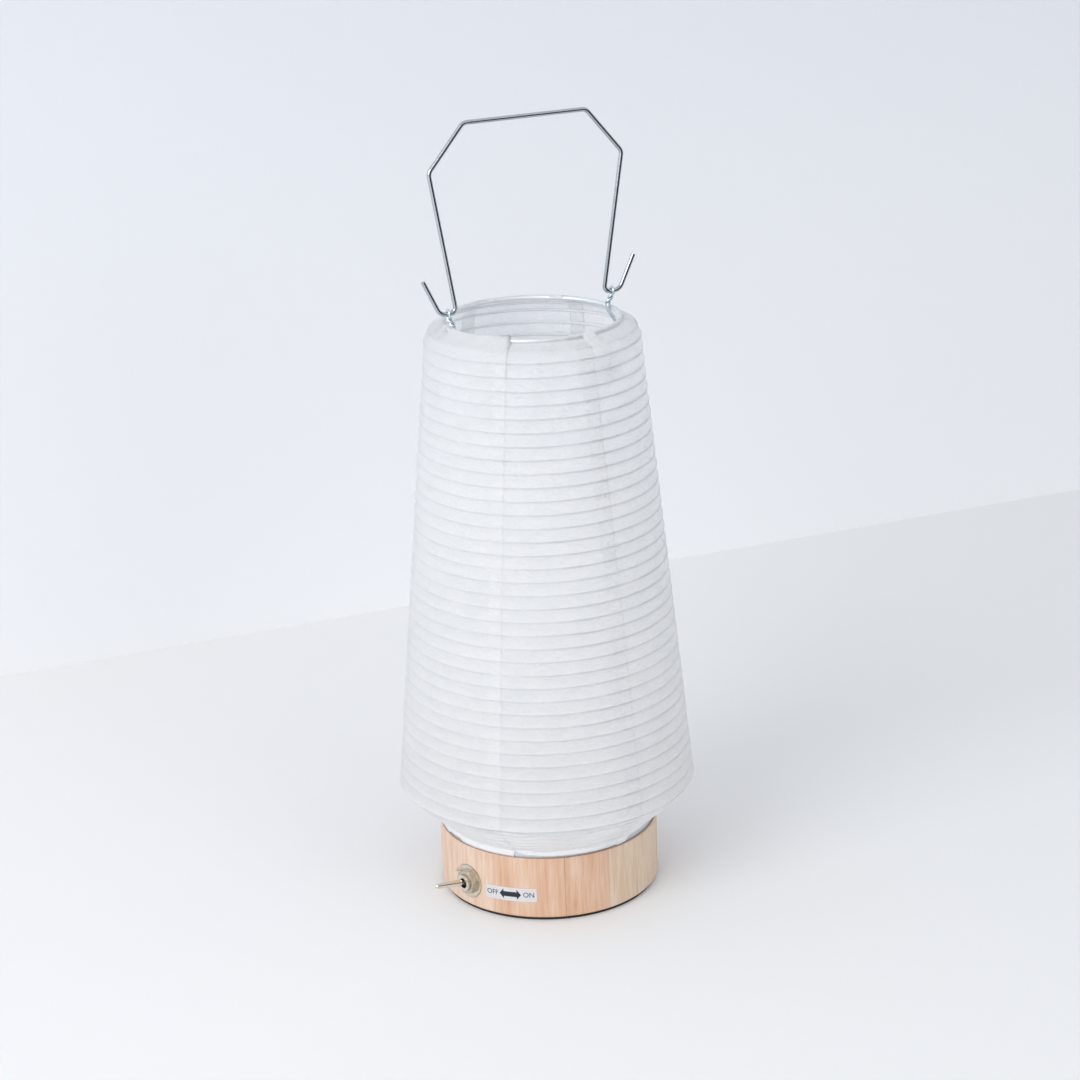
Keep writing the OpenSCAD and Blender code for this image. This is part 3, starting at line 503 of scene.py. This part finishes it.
# %% Mesh helper
def mesh_object(name, verts, faces, material, smooth=True):
    """An object made of points in metres and of faces that number them."""
    mesh = bpy.data.meshes.new(name)
    mesh.from_pydata([tuple(v) for v in verts], [], faces)
    mesh.update()
    if smooth:
        mesh.shade_smooth()
    mesh.materials.append(material)
    o = bpy.data.objects.new(name, mesh)
    bpy.context.scene.collection.objects.link(o)
    return o


print("mesh helper: ready")

# %% [markdown]
# ## Shade
# The shade is six strips of washi, pasted over the hoops one after the other. Each strip's right
# edge lies on top of the next strip, 5.6 mm wide. Paste shrinks the paper as it dries, so it sinks
# between the hoops, unevenly, and a sharp crease forms right under each hoop. A strip is built as
# a grid: the rows follow the lamp's outline and the columns run round it. A displacement texture
# could make it uneven, but the size of the dents has to follow the hoops and their ends have to
# meet. So a smooth random field of angle and height does it, which closes on itself round the
# lamp. All strips read the same one, so that two that lap sink alike.

# %% Random field
PANELS = 6


def field(seed, cells_around, cells_up, low=0.0, high=RIM_Z + 4):
    """A function of angle and height with smooth random values from -1 to 1."""
    grid = np.random.default_rng(seed).uniform(-1, 1, (cells_around, cells_up + 2))

    def value(angle, z):
        a = np.asarray(angle) % 360 / 360 * cells_around
        b = np.clip((np.asarray(z) - low) / (high - low), 0, 0.9999) * cells_up
        ia, ib = np.floor(a).astype(int), np.floor(b).astype(int)
        fa, fb = a - ia, b - ib
        fa, fb = fa * fa * (3 - 2 * fa), fb * fb * (3 - 2 * fb)
        ia, ja = ia % cells_around, (ia + 1) % cells_around
        return ((grid[ia, ib] * (1 - fb) + grid[ia, ib + 1] * fb) * (1 - fa)
                + (grid[ja, ib] * (1 - fb) + grid[ja, ib + 1] * fb) * fa)

    return value


slack = field(11, 40, 48)       # how slack a bay is, from one 9 degrees to the next
ripple = field(12, 300, 150)    # fine crumples, about a millimetre wide
sheared = field(13, 170, 90)    # wrinkles that run aslant
patches = field(14, 16, 12)     # broad patches where the paper is more wrinkled
print("field at the front:", round(float(slack(245, 120)), 2))

# %% [markdown]
# ## Seams
# A strip is cut wider at the belly than at the mouth, so its edges lean. They could all lean
# alike, at six even steps. But strips are cut and pasted by hand: the front one is 57 degrees
# wide at the belly and 46 at the rim, as in the photograph, and the other five share what is left.

# %% Seams
LEFT_SEAM, RIGHT_SEAM = (227.4, 232.4), (284.0, 278.5)


def seam(number, z):
    """Angle of the free edge of strip `number`; number 0 is the front strip's left seam."""
    share = np.clip((z - TOP_Z) / (RIM_Z - TOP_Z), 0, 1) ** 2
    left = LEFT_SEAM[0] + (LEFT_SEAM[1] - LEFT_SEAM[0]) * share
    right = RIGHT_SEAM[0] + (RIGHT_SEAM[1] - RIGHT_SEAM[0]) * share
    if number == 0:
        return left
    return right + (left + 360 - right) * (number - 1) / (PANELS - 1)


print("width of the front strip:", round(float(seam(1, 120) - seam(0, 120)), 1), "degrees")

# %% [markdown]
# Where two strips lap, the upper one is lifted a hair, and its free edge is pressed down. The
# columns could be spaced evenly, but a lap is narrow. So the laps along a strip's two edges get
# columns of their own, closer than those of the wide stretch between them.

# %% Columns of a strip
LAP_MM, LAP_LIFT_MM = 5.6, 0.04
LAP_COLUMNS, PLAIN_COLUMNS = 8, 58
LIFT_SHARES = np.array([0, 0.5, 1, 1, 1, 1, 1, 0.7, -0.4])
# how much clearer paste made the two sheets of each strip's lap, or below zero how much denser
LAP_CLEARER = (-0.3, 0.15, 0.35, 0.4, 0.3, 0.4)
# the last strip's edge came loose towards the mouth
LOOSE_MM, LOOSE_FROM_Z, LOOSE_OVER = 0.3, 200, 9
LOOSE_COLUMNS = np.array([0.1, 0.3, 0.6, 0.9, 1.0])


def columns_of(index, r, z):
    """Angles across strip `index` at one height, how far each is lifted, and how clear its lap is."""
    lap = math.degrees(LAP_MM / r)
    start, end = seam(index - 1, z), seam(index, z)
    under = np.linspace(start - lap, start, LAP_COLUMNS, endpoint=False)
    middle = np.linspace(start, end - lap, PLAIN_COLUMNS, endpoint=False)
    over = np.linspace(end - lap, end, LAP_COLUMNS + 1)
    lifted = np.concatenate([np.zeros(LAP_COLUMNS + PLAIN_COLUMNS), LAP_LIFT_MM * LIFT_SHARES])
    if index == PANELS:
        loose = LOOSE_MM * np.clip((z - LOOSE_FROM_Z) / LOOSE_OVER, 0, 1)
        lifted[-len(LOOSE_COLUMNS):] += loose * LOOSE_COLUMNS
    double = np.concatenate([LAP_CLEARER[index - 1] * np.ones(LAP_COLUMNS), np.zeros(PLAIN_COLUMNS),
                             LAP_CLEARER[index % PANELS] * np.ones(LAP_COLUMNS + 1)])
    return np.concatenate([under, middle, over]), lifted, double


print("columns of a strip:", len(columns_of(1, HOOP_R_LOW, HOOP_LOW_Z)[0]))

# %% [markdown]
# ## Rim
# At the mouth some stretches of paper are folded over the ring, and others are cut short and
# leave the ring bare: the left strip is folded and stands a little proud, except where the
# handle's leg swings past it, the front strip is cut, and small tabs follow. A random field could
# place the folds, but these can be seen one by one, so they are listed. Angles are in degrees.

# %% Rim
# start, end, and how far round the ring the stretch is folded
FOLDED = [(170.5, 177.0, 1.0), (183.0, 232.4, 1.0), (278.5, 288.3, 0.75), (338.0, 356.5, 0.35),
          (3.5, 42.0, 0.5), (42.0, 54.0, 1.0), (54.0, 91.0, 0.62), (90.0, 98.0, 1.0), (98.0, 168.0, 0.75)]
# angle, and how many millimetres the fold stands off the ring there
PROUD = [(177, 0.1), (183, 0.55), (192, 0.1), (207, 0.1), (217, 0.55), (233, 0.55), (270, 0.1)]
# the left strip's last corner stands off further
CORNER_PROUD, CORNER_FROM, CORNER_TO = 0.5, 229.5, 233
# degrees over which a fold begins and ends
FOLD_IN, FOLD_OUT, CORNER_IN = 1.2, 0.8, 1.5


def between(angle, pairs):
    """Reads a list of angle and value at any angle, straight between its points."""
    return np.interp(angle % 360, [p[0] for p in pairs], [p[1] for p in pairs])


def folded(angle):
    """How far the paper wraps over the ring, from 0 to 1."""
    share = np.zeros_like(angle)
    for start, end, amount in FOLDED:
        ramp_in = np.clip((angle % 360 - start) / FOLD_IN, 0, 1)
        ramp_out = np.clip((end - angle % 360) / FOLD_OUT, 0, 1)
        share = np.maximum(share, amount * np.minimum(ramp_in, ramp_out))
    return share


print("fold at the left:", float(folded(np.array([200.0]))[0]), "and in front:",
      float(folded(np.array([250.0]))[0]))

# %% [markdown]
# ## Hem
# The lower edge was trimmed with a knife after pasting, strip by strip. A level cut would be
# simpler and look machine made. This one reaches the wood on the left, leaves a strip of the band
# bare in front, and a wider one on the right.

# %% Hem
# angle, and how many millimetres above the wood the paper ends there
HEM = [(0, 0.5), (60, 1.3), (110, 0.3), (178, 0.0), (181, 1.1), (191, 0.9), (193, 0.1), (226.5, 0.0),
       (227.2, 2.2), (233, 1.0), (240, 0.6), (272, 0.5), (283, 0.6), (284, 0.1), (290, 0.3), (292.5, 2.0),
       (318, 2.4), (330, 0.6), (360, 0.5)]
print("hem: from", min(h for _, h in HEM), "to", max(h for _, h in HEM), "mm above the wood")

# %% [markdown]
# ## Rows of a strip
# From the hem up: down the band, round the belly with a few loose creases, then one bay of paper
# per hoop, the shoulder, and the fold round the ring. Rows could be spaced evenly, but a crease
# is only half a millimetre wide, so they stand closer where the paper bends sharply.

# %% Rows
BAY = (0.07, 0.15, 0.26, 0.38, 0.5, 0.62, 0.74, 0.84, 0.9, 0.94, 0.97, 1.0)
CREASE_AT, CREASE_HALF = 0.955, 0.06    # shares of a bay: right under its upper hoop
BELLY_ROWS, HEM_ROWS, SHOULDER_ROWS, FOLD_ROWS = 40, 4, 6, 7
BELLY_Z = TOP_Z + BAND_H - 0.2
HEM_R = BAND_R + 0.3
BELLY_ROUNDNESS = 1.9


def rows_below_hoops():
    """Hem and belly as (share of the hem, radius, height, looseness)."""
    rows = [(1 - i / HEM_ROWS, HEM_R, BELLY_Z, 0.0) for i in range(HEM_ROWS)]
    for i in range(BELLY_ROWS + 1):
        s = math.radians(90 * (1 - i / BELLY_ROWS))
        r = HEM_R + (HOOP_R_LOW - HEM_R) * math.cos(s) ** BELLY_ROUNDNESS
        z = HOOP_LOW_Z - (HOOP_LOW_Z - BELLY_Z) * math.sin(s) ** BELLY_ROUNDNESS
        rows.append((0.0, r, z, math.sin(math.radians(180 * i / BELLY_ROWS)) ** 0.5))
    return rows


def rows_of_hoops():
    """Bays between the hoops as (radius, height, sink, crease)."""
    rows = []
    for k in range(HOOPS - 1):
        for t in BAY:
            z = HOOP_LOW_Z + (k + t) * HOOP_PITCH
            r = HOOP_R_LOW + (HOOP_R_HIGH - HOOP_R_LOW) * (k + t) / (HOOPS - 1)
            rows.append((r, z, 4 * t * (1 - t), max(0.0, 1 - abs(t - CREASE_AT) / CREASE_HALF)))
    return rows


print("rows of paper:", len(rows_below_hoops()) + len(rows_of_hoops()) + 2 * SHOULDER_ROWS + FOLD_ROWS)

# %% [markdown]
# ## Shape of a row
# In a bay the paper sinks like a slack sheet and drops into the crease just below the upper hoop.
# The belly is looser, and its creases run round it. At the mouth the paper goes on over the ring.
# One long function could hold all of this. Four short ones, each for its own kind of row, say
# what the paper does there: they take the row's angles and give back its radii and heights.

# %% Shape of a row
SINK_MM, CREASE_MM, RIPPLE_MM, WRINKLE_MM = 0.38, 0.14, 0.06, 0.22
BELLY_CREASE_MM, BELLY_CREASE_PITCH = 0.32, 2.4
SHOULDER_SINK, RIM_SINK = 0.175, 0.275    # in the two short bays above the last even hoop
# degrees round the ring's wire, from straight out: where the paper meets it and how far it goes on
MEET_CUT, MEET_FOLDED, ROUND_CUT, ROUND_FOLDED = -32, 60, 3, 108


def belly_row(angle, share, r, z, loose):
    """Hem and belly: the hem follows its own line, and loose creases fade in and out."""
    wave = np.sin(2 * math.pi * (z - BELLY_Z) / BELLY_CREASE_PITCH + 3.0 * slack(angle, 30))
    creases = np.sign(wave) * np.abs(wave) ** 0.7 * np.clip(0.6 + patches(angle + 40, z), 0, 1)
    sink = loose * (BELLY_CREASE_MM * creases + RIPPLE_MM * ripple(angle, z))
    return r - sink, z - share * (BELLY_Z - TOP_Z - between(angle, HEM))


def bay_row(angle, r, z, sink, crease):
    """A bay between two hoops, slack and wrinkled in its middle."""
    wrinkle = WRINKLE_MM * sheared(angle + 0.9 * z, z) * np.clip(0.35 + patches(angle, z), 0, 1)
    depth = (SINK_MM * sink * (1 + 0.5 * slack(angle, z)) + RIPPLE_MM * sink * ripple(angle, z)
             + sink ** 0.5 * wrinkle + CREASE_MM * crease * (1 + 0.6 * slack(angle + 7, z)))
    return r - depth, z


def shoulder_row(angle, r, z, t):
    """The short bay up to the hoop at the shoulder."""
    return r - 4 * SHOULDER_SINK * t * (1 - t) * (1 + 0.6 * slack(angle, z)), z


def rim_row(angle, up, over):
    """From the shoulder to the ring while `up` grows to 1, then round it while `over` does."""
    wrap = folded(angle)
    proud = wrap * between(angle, PROUD)
    corner = np.clip((angle % 360 - CORNER_FROM) / CORNER_IN, 0, 1) * (angle % 360 < CORNER_TO)
    wire = RIM_WIRE / 2 + 0.15 + (proud + CORNER_PROUD * corner)
    meet = np.radians(MEET_CUT + (MEET_FOLDED - MEET_CUT) * wrap + 6 * ripple(angle, 100))
    bend = meet + np.radians(ROUND_CUT + (ROUND_FOLDED - ROUND_CUT) * wrap) * over
    r, z = RIM_R + wire * np.cos(bend), RIM_Z + wire * np.sin(bend)
    if up < 1:
        r, z = SHOULDER_R + (r - SHOULDER_R) * up, SHOULDER_Z + (z - SHOULDER_Z) * up
    return r - 4 * RIM_SINK * up * (1 - up) * (1 + 0.7 * slack(angle, RIM_Z)), z


print("a bay sinks", SINK_MM, "mm and its crease is", CREASE_MM, "mm deep")

# %% [markdown]
# ## Strip
# Each strip is pasted from the hem to the mouth in one go, so it is one sheet of points: row upon
# row, each with the strip's own columns. It could be one sheet for the whole shade, but then the
# laps would only be painted. The mesh is a sheet of no thickness, and the solidify modifier gives
# it the tenth of a millimetre that the paper has.


# %% Rows of one strip
def strip_points(index):
    """The grid of points of one strip, in millimetres, with the values of its laps."""
    points, doubles = [], []

    def put(row_r, row_z, shape, *row):
        """Adds the row near this radius and height, in the shape that the function `shape` gives it."""
        angle, lifted, double = columns_of(index, row_r, row_z)
        r, z = shape(angle, *row)
        r, t = r + lifted, np.radians(angle)
        points.append(np.stack([r * np.cos(t), r * np.sin(t), z + 0 * t], 1))
        doubles.append(double)

    for share, r, z, loose in rows_below_hoops():
        put(r, z, belly_row, share, r, z, loose)
    for r, z, sink, crease in rows_of_hoops():
        put(r, z, bay_row, r, z, sink, crease)
    for i in range(1, SHOULDER_ROWS + 1):
        t = i / SHOULDER_ROWS
        r = HOOP_R_HIGH + (SHOULDER_R - HOOP_R_HIGH) * t
        z = HOOP_HIGH_Z + (SHOULDER_Z - HOOP_HIGH_Z) * t
        put(r, z, shoulder_row, r, z, t)
    for i in range(1, SHOULDER_ROWS + FOLD_ROWS + 1):
        put(RIM_R, RIM_Z, rim_row, min(1.0, i / SHOULDER_ROWS), max(0.0, (i - SHOULDER_ROWS) / FOLD_ROWS))
    return np.array(points), np.array(doubles)


print("points of a strip:", strip_points(1)[0].shape)

# %% Paper strips
PAPER_MM = 0.1


def paper_strip(index):
    """One strip of washi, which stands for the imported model's plain panel."""
    points, doubles = strip_points(index)
    rows, columns = doubles.shape
    corner = np.arange((rows - 1) * columns).reshape(rows - 1, columns)[:, :-1].ravel()
    faces = np.stack([corner, corner + 1, corner + columns + 1, corner + columns], 1)
    o = mesh_object(f"washi_strip_{index}", points.reshape(-1, 3) * MM, faces.tolist(), mats["washi"])
    value = o.data.attributes.new("double", "FLOAT", "POINT")
    value.data.foreach_set("value", doubles.ravel())
    sheet = o.modifiers.new("sheet", "SOLIDIFY")
    sheet.thickness = PAPER_MM * MM
    sheet.offset = -1.0
    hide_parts(f"paper_panel_{index}")
    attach(o, "lamp")
    return o


strips = [paper_strip(k) for k in range(1, PANELS + 1)]
print("strips:", len(strips), "with", sum(len(s.data.vertices) for s in strips), "points")

# %% [markdown]
# ## Ears
# Each ear is one length of zinc wire. It goes up as one strand, round the eye that holds the
# bail, and comes back down as the other strand, and the two are twisted once round each other on
# the way. Both legs end inside the shade, under the ring. A strand could be bent by hand, point by
# point. But one even turn round the other strand is a formula, so its points are worked out.

# %% Strand of an ear
EYE_GAP, HALF_GAP = 0.08, 0.05    # all round the bail, and half of the gap between the strands
EYE_R = BAIL_WIRE / 2 + EYE_GAP + EAR_WIRE / 2
EAR_X, LEG_X = RIM_R + 0.45, RIM_R - (RIM_WIRE + EAR_WIRE) / 2 - 0.15
STRAND_Y = EAR_WIRE / 2 + HALF_GAP
NECK_TOP, NECK_LOW = Vector((EAR_X, 0, HINGE_Z - EYE_R + 0.3)), Vector((LEG_X, 0, RIM_Z + 1.35))
LEG_OUT, LEG_DOWN = 3.1, 5.3
TWIST_STEPS = 24


def strand(side):
    """One strand from the eye down to the end of its leg."""
    across = Vector((0, 1, 0))
    outwards = across.cross(NECK_LOW - NECK_TOP).normalized()
    points = []
    for i in range(TWIST_STEPS + 1):
        a = math.radians(90 * side + 360 * i / TWIST_STEPS)
        off_line = STRAND_Y * (math.sin(a) * across + math.cos(a) * outwards)
        points.append(NECK_TOP.lerp(NECK_LOW, i / TWIST_STEPS) + off_line)
    y = side * STRAND_Y
    leg = ((LEG_X, y, NECK_LOW.z - 0.5), (LEG_X, y, RIM_Z), (LEG_X + 0.2, y, RIM_Z - 0.7),
           (LEG_X + LEG_OUT, y, RIM_Z - LEG_DOWN))
    return points + [Vector(p) for p in leg]


print("strand of an ear:", len(strand(1)), "points")

# %% [markdown]
# The eye is a circle that stays open where the two strands leave it. A mesh tube could be swept
# along the whole wire, but a curve with a round section is the plain way to draw a bent wire, and
# it can still be edited later.

# %% Ears
EYE_STEPS = 32


def ear(name, mirror):
    """The wire of one ear; `mirror` is 1 on the right and -1 on the left."""
    gap = math.asin(STRAND_Y / EYE_R)
    turn = [math.radians(-90) - gap - (2 * math.pi - 2 * gap) * i / EYE_STEPS
            for i in range(1, EYE_STEPS)]
    loop = [Vector((EAR_X, EYE_R * math.cos(a), HINGE_Z + EYE_R * math.sin(a))) for a in turn]
    route = list(reversed(strand(-1))) + loop + strand(1)
    curve = bpy.data.curves.new(name, "CURVE")
    curve.dimensions = "3D"
    curve.bevel_depth = EAR_WIRE / 2 * MM
    curve.bevel_resolution = 5
    curve.use_fill_caps = True
    line = curve.splines.new("POLY")
    line.points.add(len(route) - 1)
    for point, p in zip(line.points, route):
        point.co = (p.x * mirror * MM, p.y * MM, p.z * MM, 1)
    curve.materials.append(mats["ear_wire"])
    o = bpy.data.objects.new(name + "_wire", curve)
    bpy.context.scene.collection.objects.link(o)
    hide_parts(name)
    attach(o, "lamp")
    return o


ears = [ear("right_ear", 1), ear("left_ear", -1)]
print("ears:", len(ears), "with an eye", round(2 * EYE_R - EAR_WIRE, 2), "mm wide inside")

# %% [markdown]
# ## Label
# A white sticker on the base says which way the lever goes. It could be an image laid on the
# wood, but an image is a file, and its edge would have no thickness. So the film and its print
# are thin flat shapes, drawn flat, cut into narrow columns, and bent round the base.


# %% Flat shapes that bend
def wrap_round(o, radius, angle, z, tilt):
    """Bends a flat object in its XY plane, in millimetres, round the base."""
    c, s = math.cos(math.radians(tilt)), math.sin(math.radians(tilt))
    for v in o.data.vertices:
        x, y = v.co.x * c - v.co.y * s, v.co.x * s + v.co.y * c
        t = math.radians(angle) + x / radius
        v.co = Vector((radius * math.cos(t) * MM, radius * math.sin(t) * MM, (z + y) * MM))


def flat_shape(name, points, material, cuts=24):
    """A filled outline in millimetres, cut into columns so that it can bend."""
    mesh = bpy.data.meshes.new(name)
    mesh.from_pydata([(x, y, 0) for x, y in points], [], [tuple(range(len(points)))])
    mesh.materials.append(material)
    low, high = min(p[0] for p in points), max(p[0] for p in points)
    bm = bmesh.new()
    bm.from_mesh(mesh)
    for i in range(1, cuts):
        bmesh.ops.bisect_plane(bm, geom=bm.verts[:] + bm.edges[:] + bm.faces[:],
                               plane_co=(low + (high - low) * i / cuts, 0, 0), plane_no=(1, 0, 0))
    bmesh.ops.triangulate(bm, faces=bm.faces[:])
    bm.to_mesh(mesh)
    bm.free()
    o = bpy.data.objects.new(name, mesh)
    bpy.context.scene.collection.objects.link(o)
    return o


print("label:", LABEL_W, "by", LABEL_H, "mm")

# %% [markdown]
# The words are set in Blender's own typeface. Drawing each letter's outline by hand would be
# long, while a text object already has them, so it is turned into a mesh that can bend as well.

# %% Words
BODY_PER_CAPITAL = 1.38     # a typeface's size counts more than the height of its capitals
BOLDER_MM = 0.02


def word(name, text, x, height, material):
    """A flat word with capitals `height` millimetres high, centred at `x`."""
    curve = bpy.data.curves.new(name, "FONT")
    curve.body = text
    curve.size = height * BODY_PER_CAPITAL
    curve.offset = BOLDER_MM
    curve.align_x = "CENTER"
    curve.align_y = "CENTER"
    holder = bpy.data.objects.new(name + "_curve", curve)
    bpy.context.scene.collection.objects.link(holder)
    bpy.context.view_layer.update()
    mesh = bpy.data.meshes.new_from_object(holder)
    bpy.data.objects.remove(holder)
    mesh.materials.clear()
    mesh.materials.append(material)
    for v in mesh.vertices:
        v.co.x += x
    o = bpy.data.objects.new(name, mesh)
    bpy.context.scene.collection.objects.link(o)
    return o


print("words: capitals are", round(1 / BODY_PER_CAPITAL, 2), "of the typeface's size")

# %% [markdown]
# The film is a rectangle with round corners, and the arrow points both ways. Only one corner and
# one quarter of the arrow are drawn. The rest could be typed in too, but mirrored points can't
# come out uneven. The print lies a hair above the film, as two faces in one place would flicker.

# %% Label and its print
WORD_X, WORD_H = 7.0, 1.95
FILM_MM, FILM_UP, PRINT_UP = 0.1, 0.13, 0.155
quarter_arrow = [(0, 0.95), (2.5, 0.95), (2.5, 1.95), (4.15, 0)]
right_side = quarter_arrow + [(x, -y) for x, y in reversed(quarter_arrow[:-1])]
arrow = right_side + [(-x, y) for x, y in reversed(right_side) if x > 0]
turns = [math.radians(a) for a in range(0, 91, 15)]
corner = [(CORNER_MM * math.cos(a), CORNER_MM * math.sin(a)) for a in turns]
quarter = [(LABEL_W / 2 - CORNER_MM + x, LABEL_H / 2 - CORNER_MM + y) for x, y in corner]
half = quarter + [(-x, y) for x, y in reversed(quarter)]
outline = half + [(-x, -y) for x, y in half]
film = flat_shape("label_film", outline, mats["sticker"])
thick = film.modifiers.new("film", "SOLIDIFY")
thick.thickness = FILM_MM * MM
thick.offset = -1.0
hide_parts("label")
signs = [film, flat_shape("switch_arrow", arrow, mats["ink"]),
         word("word_off", "OFF", -WORD_X, WORD_H, mats["grey_ink"]),
         word("word_on", "ON", WORD_X, WORD_H, mats["grey_ink"])]
for o in signs:
    wrap_round(o, BASE_R + (FILM_UP if o is film else PRINT_UP), LABEL_ANGLE, LABEL_Z, LABEL_TILT)
    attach(o, "lamp")
print("label and print:", len(signs), "pieces")

# %% [markdown]
# ## Table and wall
# The lamp stands on a white painted table in front of a pale painted wall. A room could be modelled round
# it, but two plain boards fill every view. Their colour carries painted light: a slow change of tone that
# stands in for the way the daylight falls across them. The wall only shows its front: from behind it is
# clear, so that the lamp can be seen from every side.

# %% Table and wall
TABLE_HALF, WALL_HALF, WALL_TOP = 4.0, 3.0, 1.6
WALL_Y, WALL_TURN = 0.2935, -2.2


def painted(name, near, far, way, start_mm, end_mm, one_sided=False):
    """Matt paint, with painted light: a slow change of tone along one way of the board."""
    m, here = new_material(name)
    along = add(m, "VectorMath", {0: here, 1: way}, out="Value", operation="DOT_PRODUCT")
    share = add(m, "MapRange", {"Value": along, "From Min": start_mm, "From Max": end_mm})
    color = add(m, "Mix", {0: share, 6: srgb(near), 7: srgb(far)}, out=2, data_type="RGBA")
    paint = add(m, "BsdfPrincipled", {"Base Color": color, "Roughness": 0.8, "Specular IOR Level": 0.2})
    if one_sided:
        back = add(m, "NewGeometry", out="Backfacing")
        clear = add(m, "BsdfTransparent")
        paint = add(m, "MixShader", {0: back, 1: paint, 2: clear})
    add(m, "OutputMaterial", {"Surface": paint})
    return m


def board(name, half, near, far, material):
    """A flat board between its near and its far edge, each given by its Y and Z in metres."""
    verts = [(-half, *near), (half, *near), (half, *far), (-half, *far)]
    return mesh_object(name, verts, [(0, 1, 2, 3)], material, smooth=False)


table = board("table", TABLE_HALF, (-TABLE_HALF, 0), (TABLE_HALF, 0),
              painted("white_table", "#EBEBEC", "#E2E4E5", (1, 0, 0), -400.0, 500.0))
wall = board("wall", WALL_HALF, (0, 0), (0, WALL_TOP),
             painted("pale_wall", "#EEEFF1", "#D3D6DC", (0.05, 0, 1), -130.0, 330.0, one_sided=True))
wall.location = (0, WALL_Y, 0)
wall.rotation_euler = (0, 0, math.radians(WALL_TURN))
print("wall", round(WALL_Y * 1000), "mm behind the lamp")

# %% [markdown]
# ## Light
# The light is soft daylight from a window on the left. A sun lamp would cut hard shadows, and a
# picture of a sky would be a file. So one large round light stands in for the window, a weaker
# one fills from the right, and the room gives the rest evenly from all sides, as pale walls do.

# %% Light
ROOM_LIGHT, ROOM_COLOR = 0.90, "#F8F9FB"
LIGHTS = {"window": {"place": (-1.7, -0.8, 1.0), "size": 1.5, "power": 21.0},
          "fill": {"place": (0.5, -1.6, 0.5), "size": 1.2, "power": 4.5}}
LIT_POINT = Vector((0, 0, 0.1))


def round_light(name, place, size, power):
    """A round white light, with its size in metres and its power in watts, pointed at the shade."""
    light = bpy.data.lights.new(name, "AREA")
    light.shape = "DISK"
    light.size = size
    light.energy = power
    o = bpy.data.objects.new(name, light)
    bpy.context.scene.collection.objects.link(o)
    o.location = place
    o.rotation_euler = (LIT_POINT - Vector(place)).to_track_quat("-Z", "Y").to_euler()


for name, setting in LIGHTS.items():
    round_light(name, **setting)
world = bpy.data.worlds.new("room_in_daylight")
world.use_nodes = True
world.node_tree.nodes.clear()
room = add(world, "Background", {"Color": srgb(ROOM_COLOR), "Strength": ROOM_LIGHT})
add(world, "OutputWorld", {"Surface": room})
bpy.context.scene.world = world
print("lights:", ", ".join(LIGHTS), "and the room at", ROOM_LIGHT)

# %% [markdown]
# ## Black card
# Bright wire looks like metal only if it has something dark to mirror. The wire could be made
# darker instead, but then it would be dull all round. So a black card stands to the right of the
# camera, as in a photographer's studio. It is kept out of sight of everything but reflections, so
# the paper isn't shaded by it.

# %% Black card
CARD_HALF, CARD_TOP, CARD_PLACE, CARD_TURN = 0.4, 0.5, (0.21, -0.44, 0), 26
card = board("black_card", CARD_HALF, (0, 0), (0, CARD_TOP),
             plain("black_card_felt", "#1A1A1C", "#101012", 0.9, 20.0))
card.location = CARD_PLACE
card.rotation_euler = (0, 0, math.radians(CARD_TURN))
for sight in ("camera", "diffuse", "transmission", "shadow"):
    setattr(card, "visible_" + sight, False)
print("black card:", [round(c, 2) for c in card.location])

# %% [markdown]
# ## Camera
# The camera stands about a metre away and a little above the lamp, as in the photograph. It could
# be moved by hand until the picture looks right, but a small error in height and a small error in
# the lens hide each other that way. So its place, its turn and its lens were worked out together,
# from the lamp's own round and straight lines.

# %% Camera
CAMERA_MM = (-369.2, -813.9, 438.3)
YAW, TILT_DOWN, ROLL = 24.42, 18.983, -1.921
LENS_MM, SENSOR_MM = 88.217, 36

yaw, tilt, roll = (math.radians(a) for a in (YAW, TILT_DOWN, ROLL))
forward = Vector((math.sin(yaw) * math.cos(tilt), math.cos(yaw) * math.cos(tilt), -math.sin(tilt)))
level = Vector((math.cos(yaw), -math.sin(yaw), 0))
upright = level.cross(forward)
right = math.cos(roll) * level + math.sin(roll) * upright
up = -math.sin(roll) * level + math.cos(roll) * upright
camera_data = bpy.data.cameras.new("camera")
camera_data.lens = LENS_MM
camera_data.sensor_width = SENSOR_MM
camera_data.sensor_fit = "HORIZONTAL"
camera_data.clip_start = 0.05
camera = bpy.data.objects.new("camera", camera_data)
bpy.context.scene.collection.objects.link(camera)
rotation = Matrix((right, up, -forward)).transposed()
camera.matrix_world = Matrix.Translation(Vector(CAMERA_MM) * MM) @ rotation.to_4x4()
bpy.context.scene.camera = camera
bpy.context.scene.view_settings.view_transform = "Standard"
print("camera:", [round(c, 3) for c in camera.location])

# %% [markdown]
# ## Finish
# Dressing a model must not change its size, and folds of paper hide a millimetre easily. Here the view
# layer is brought up to date at the end.

# %% Finish
bpy.context.view_layer.update()
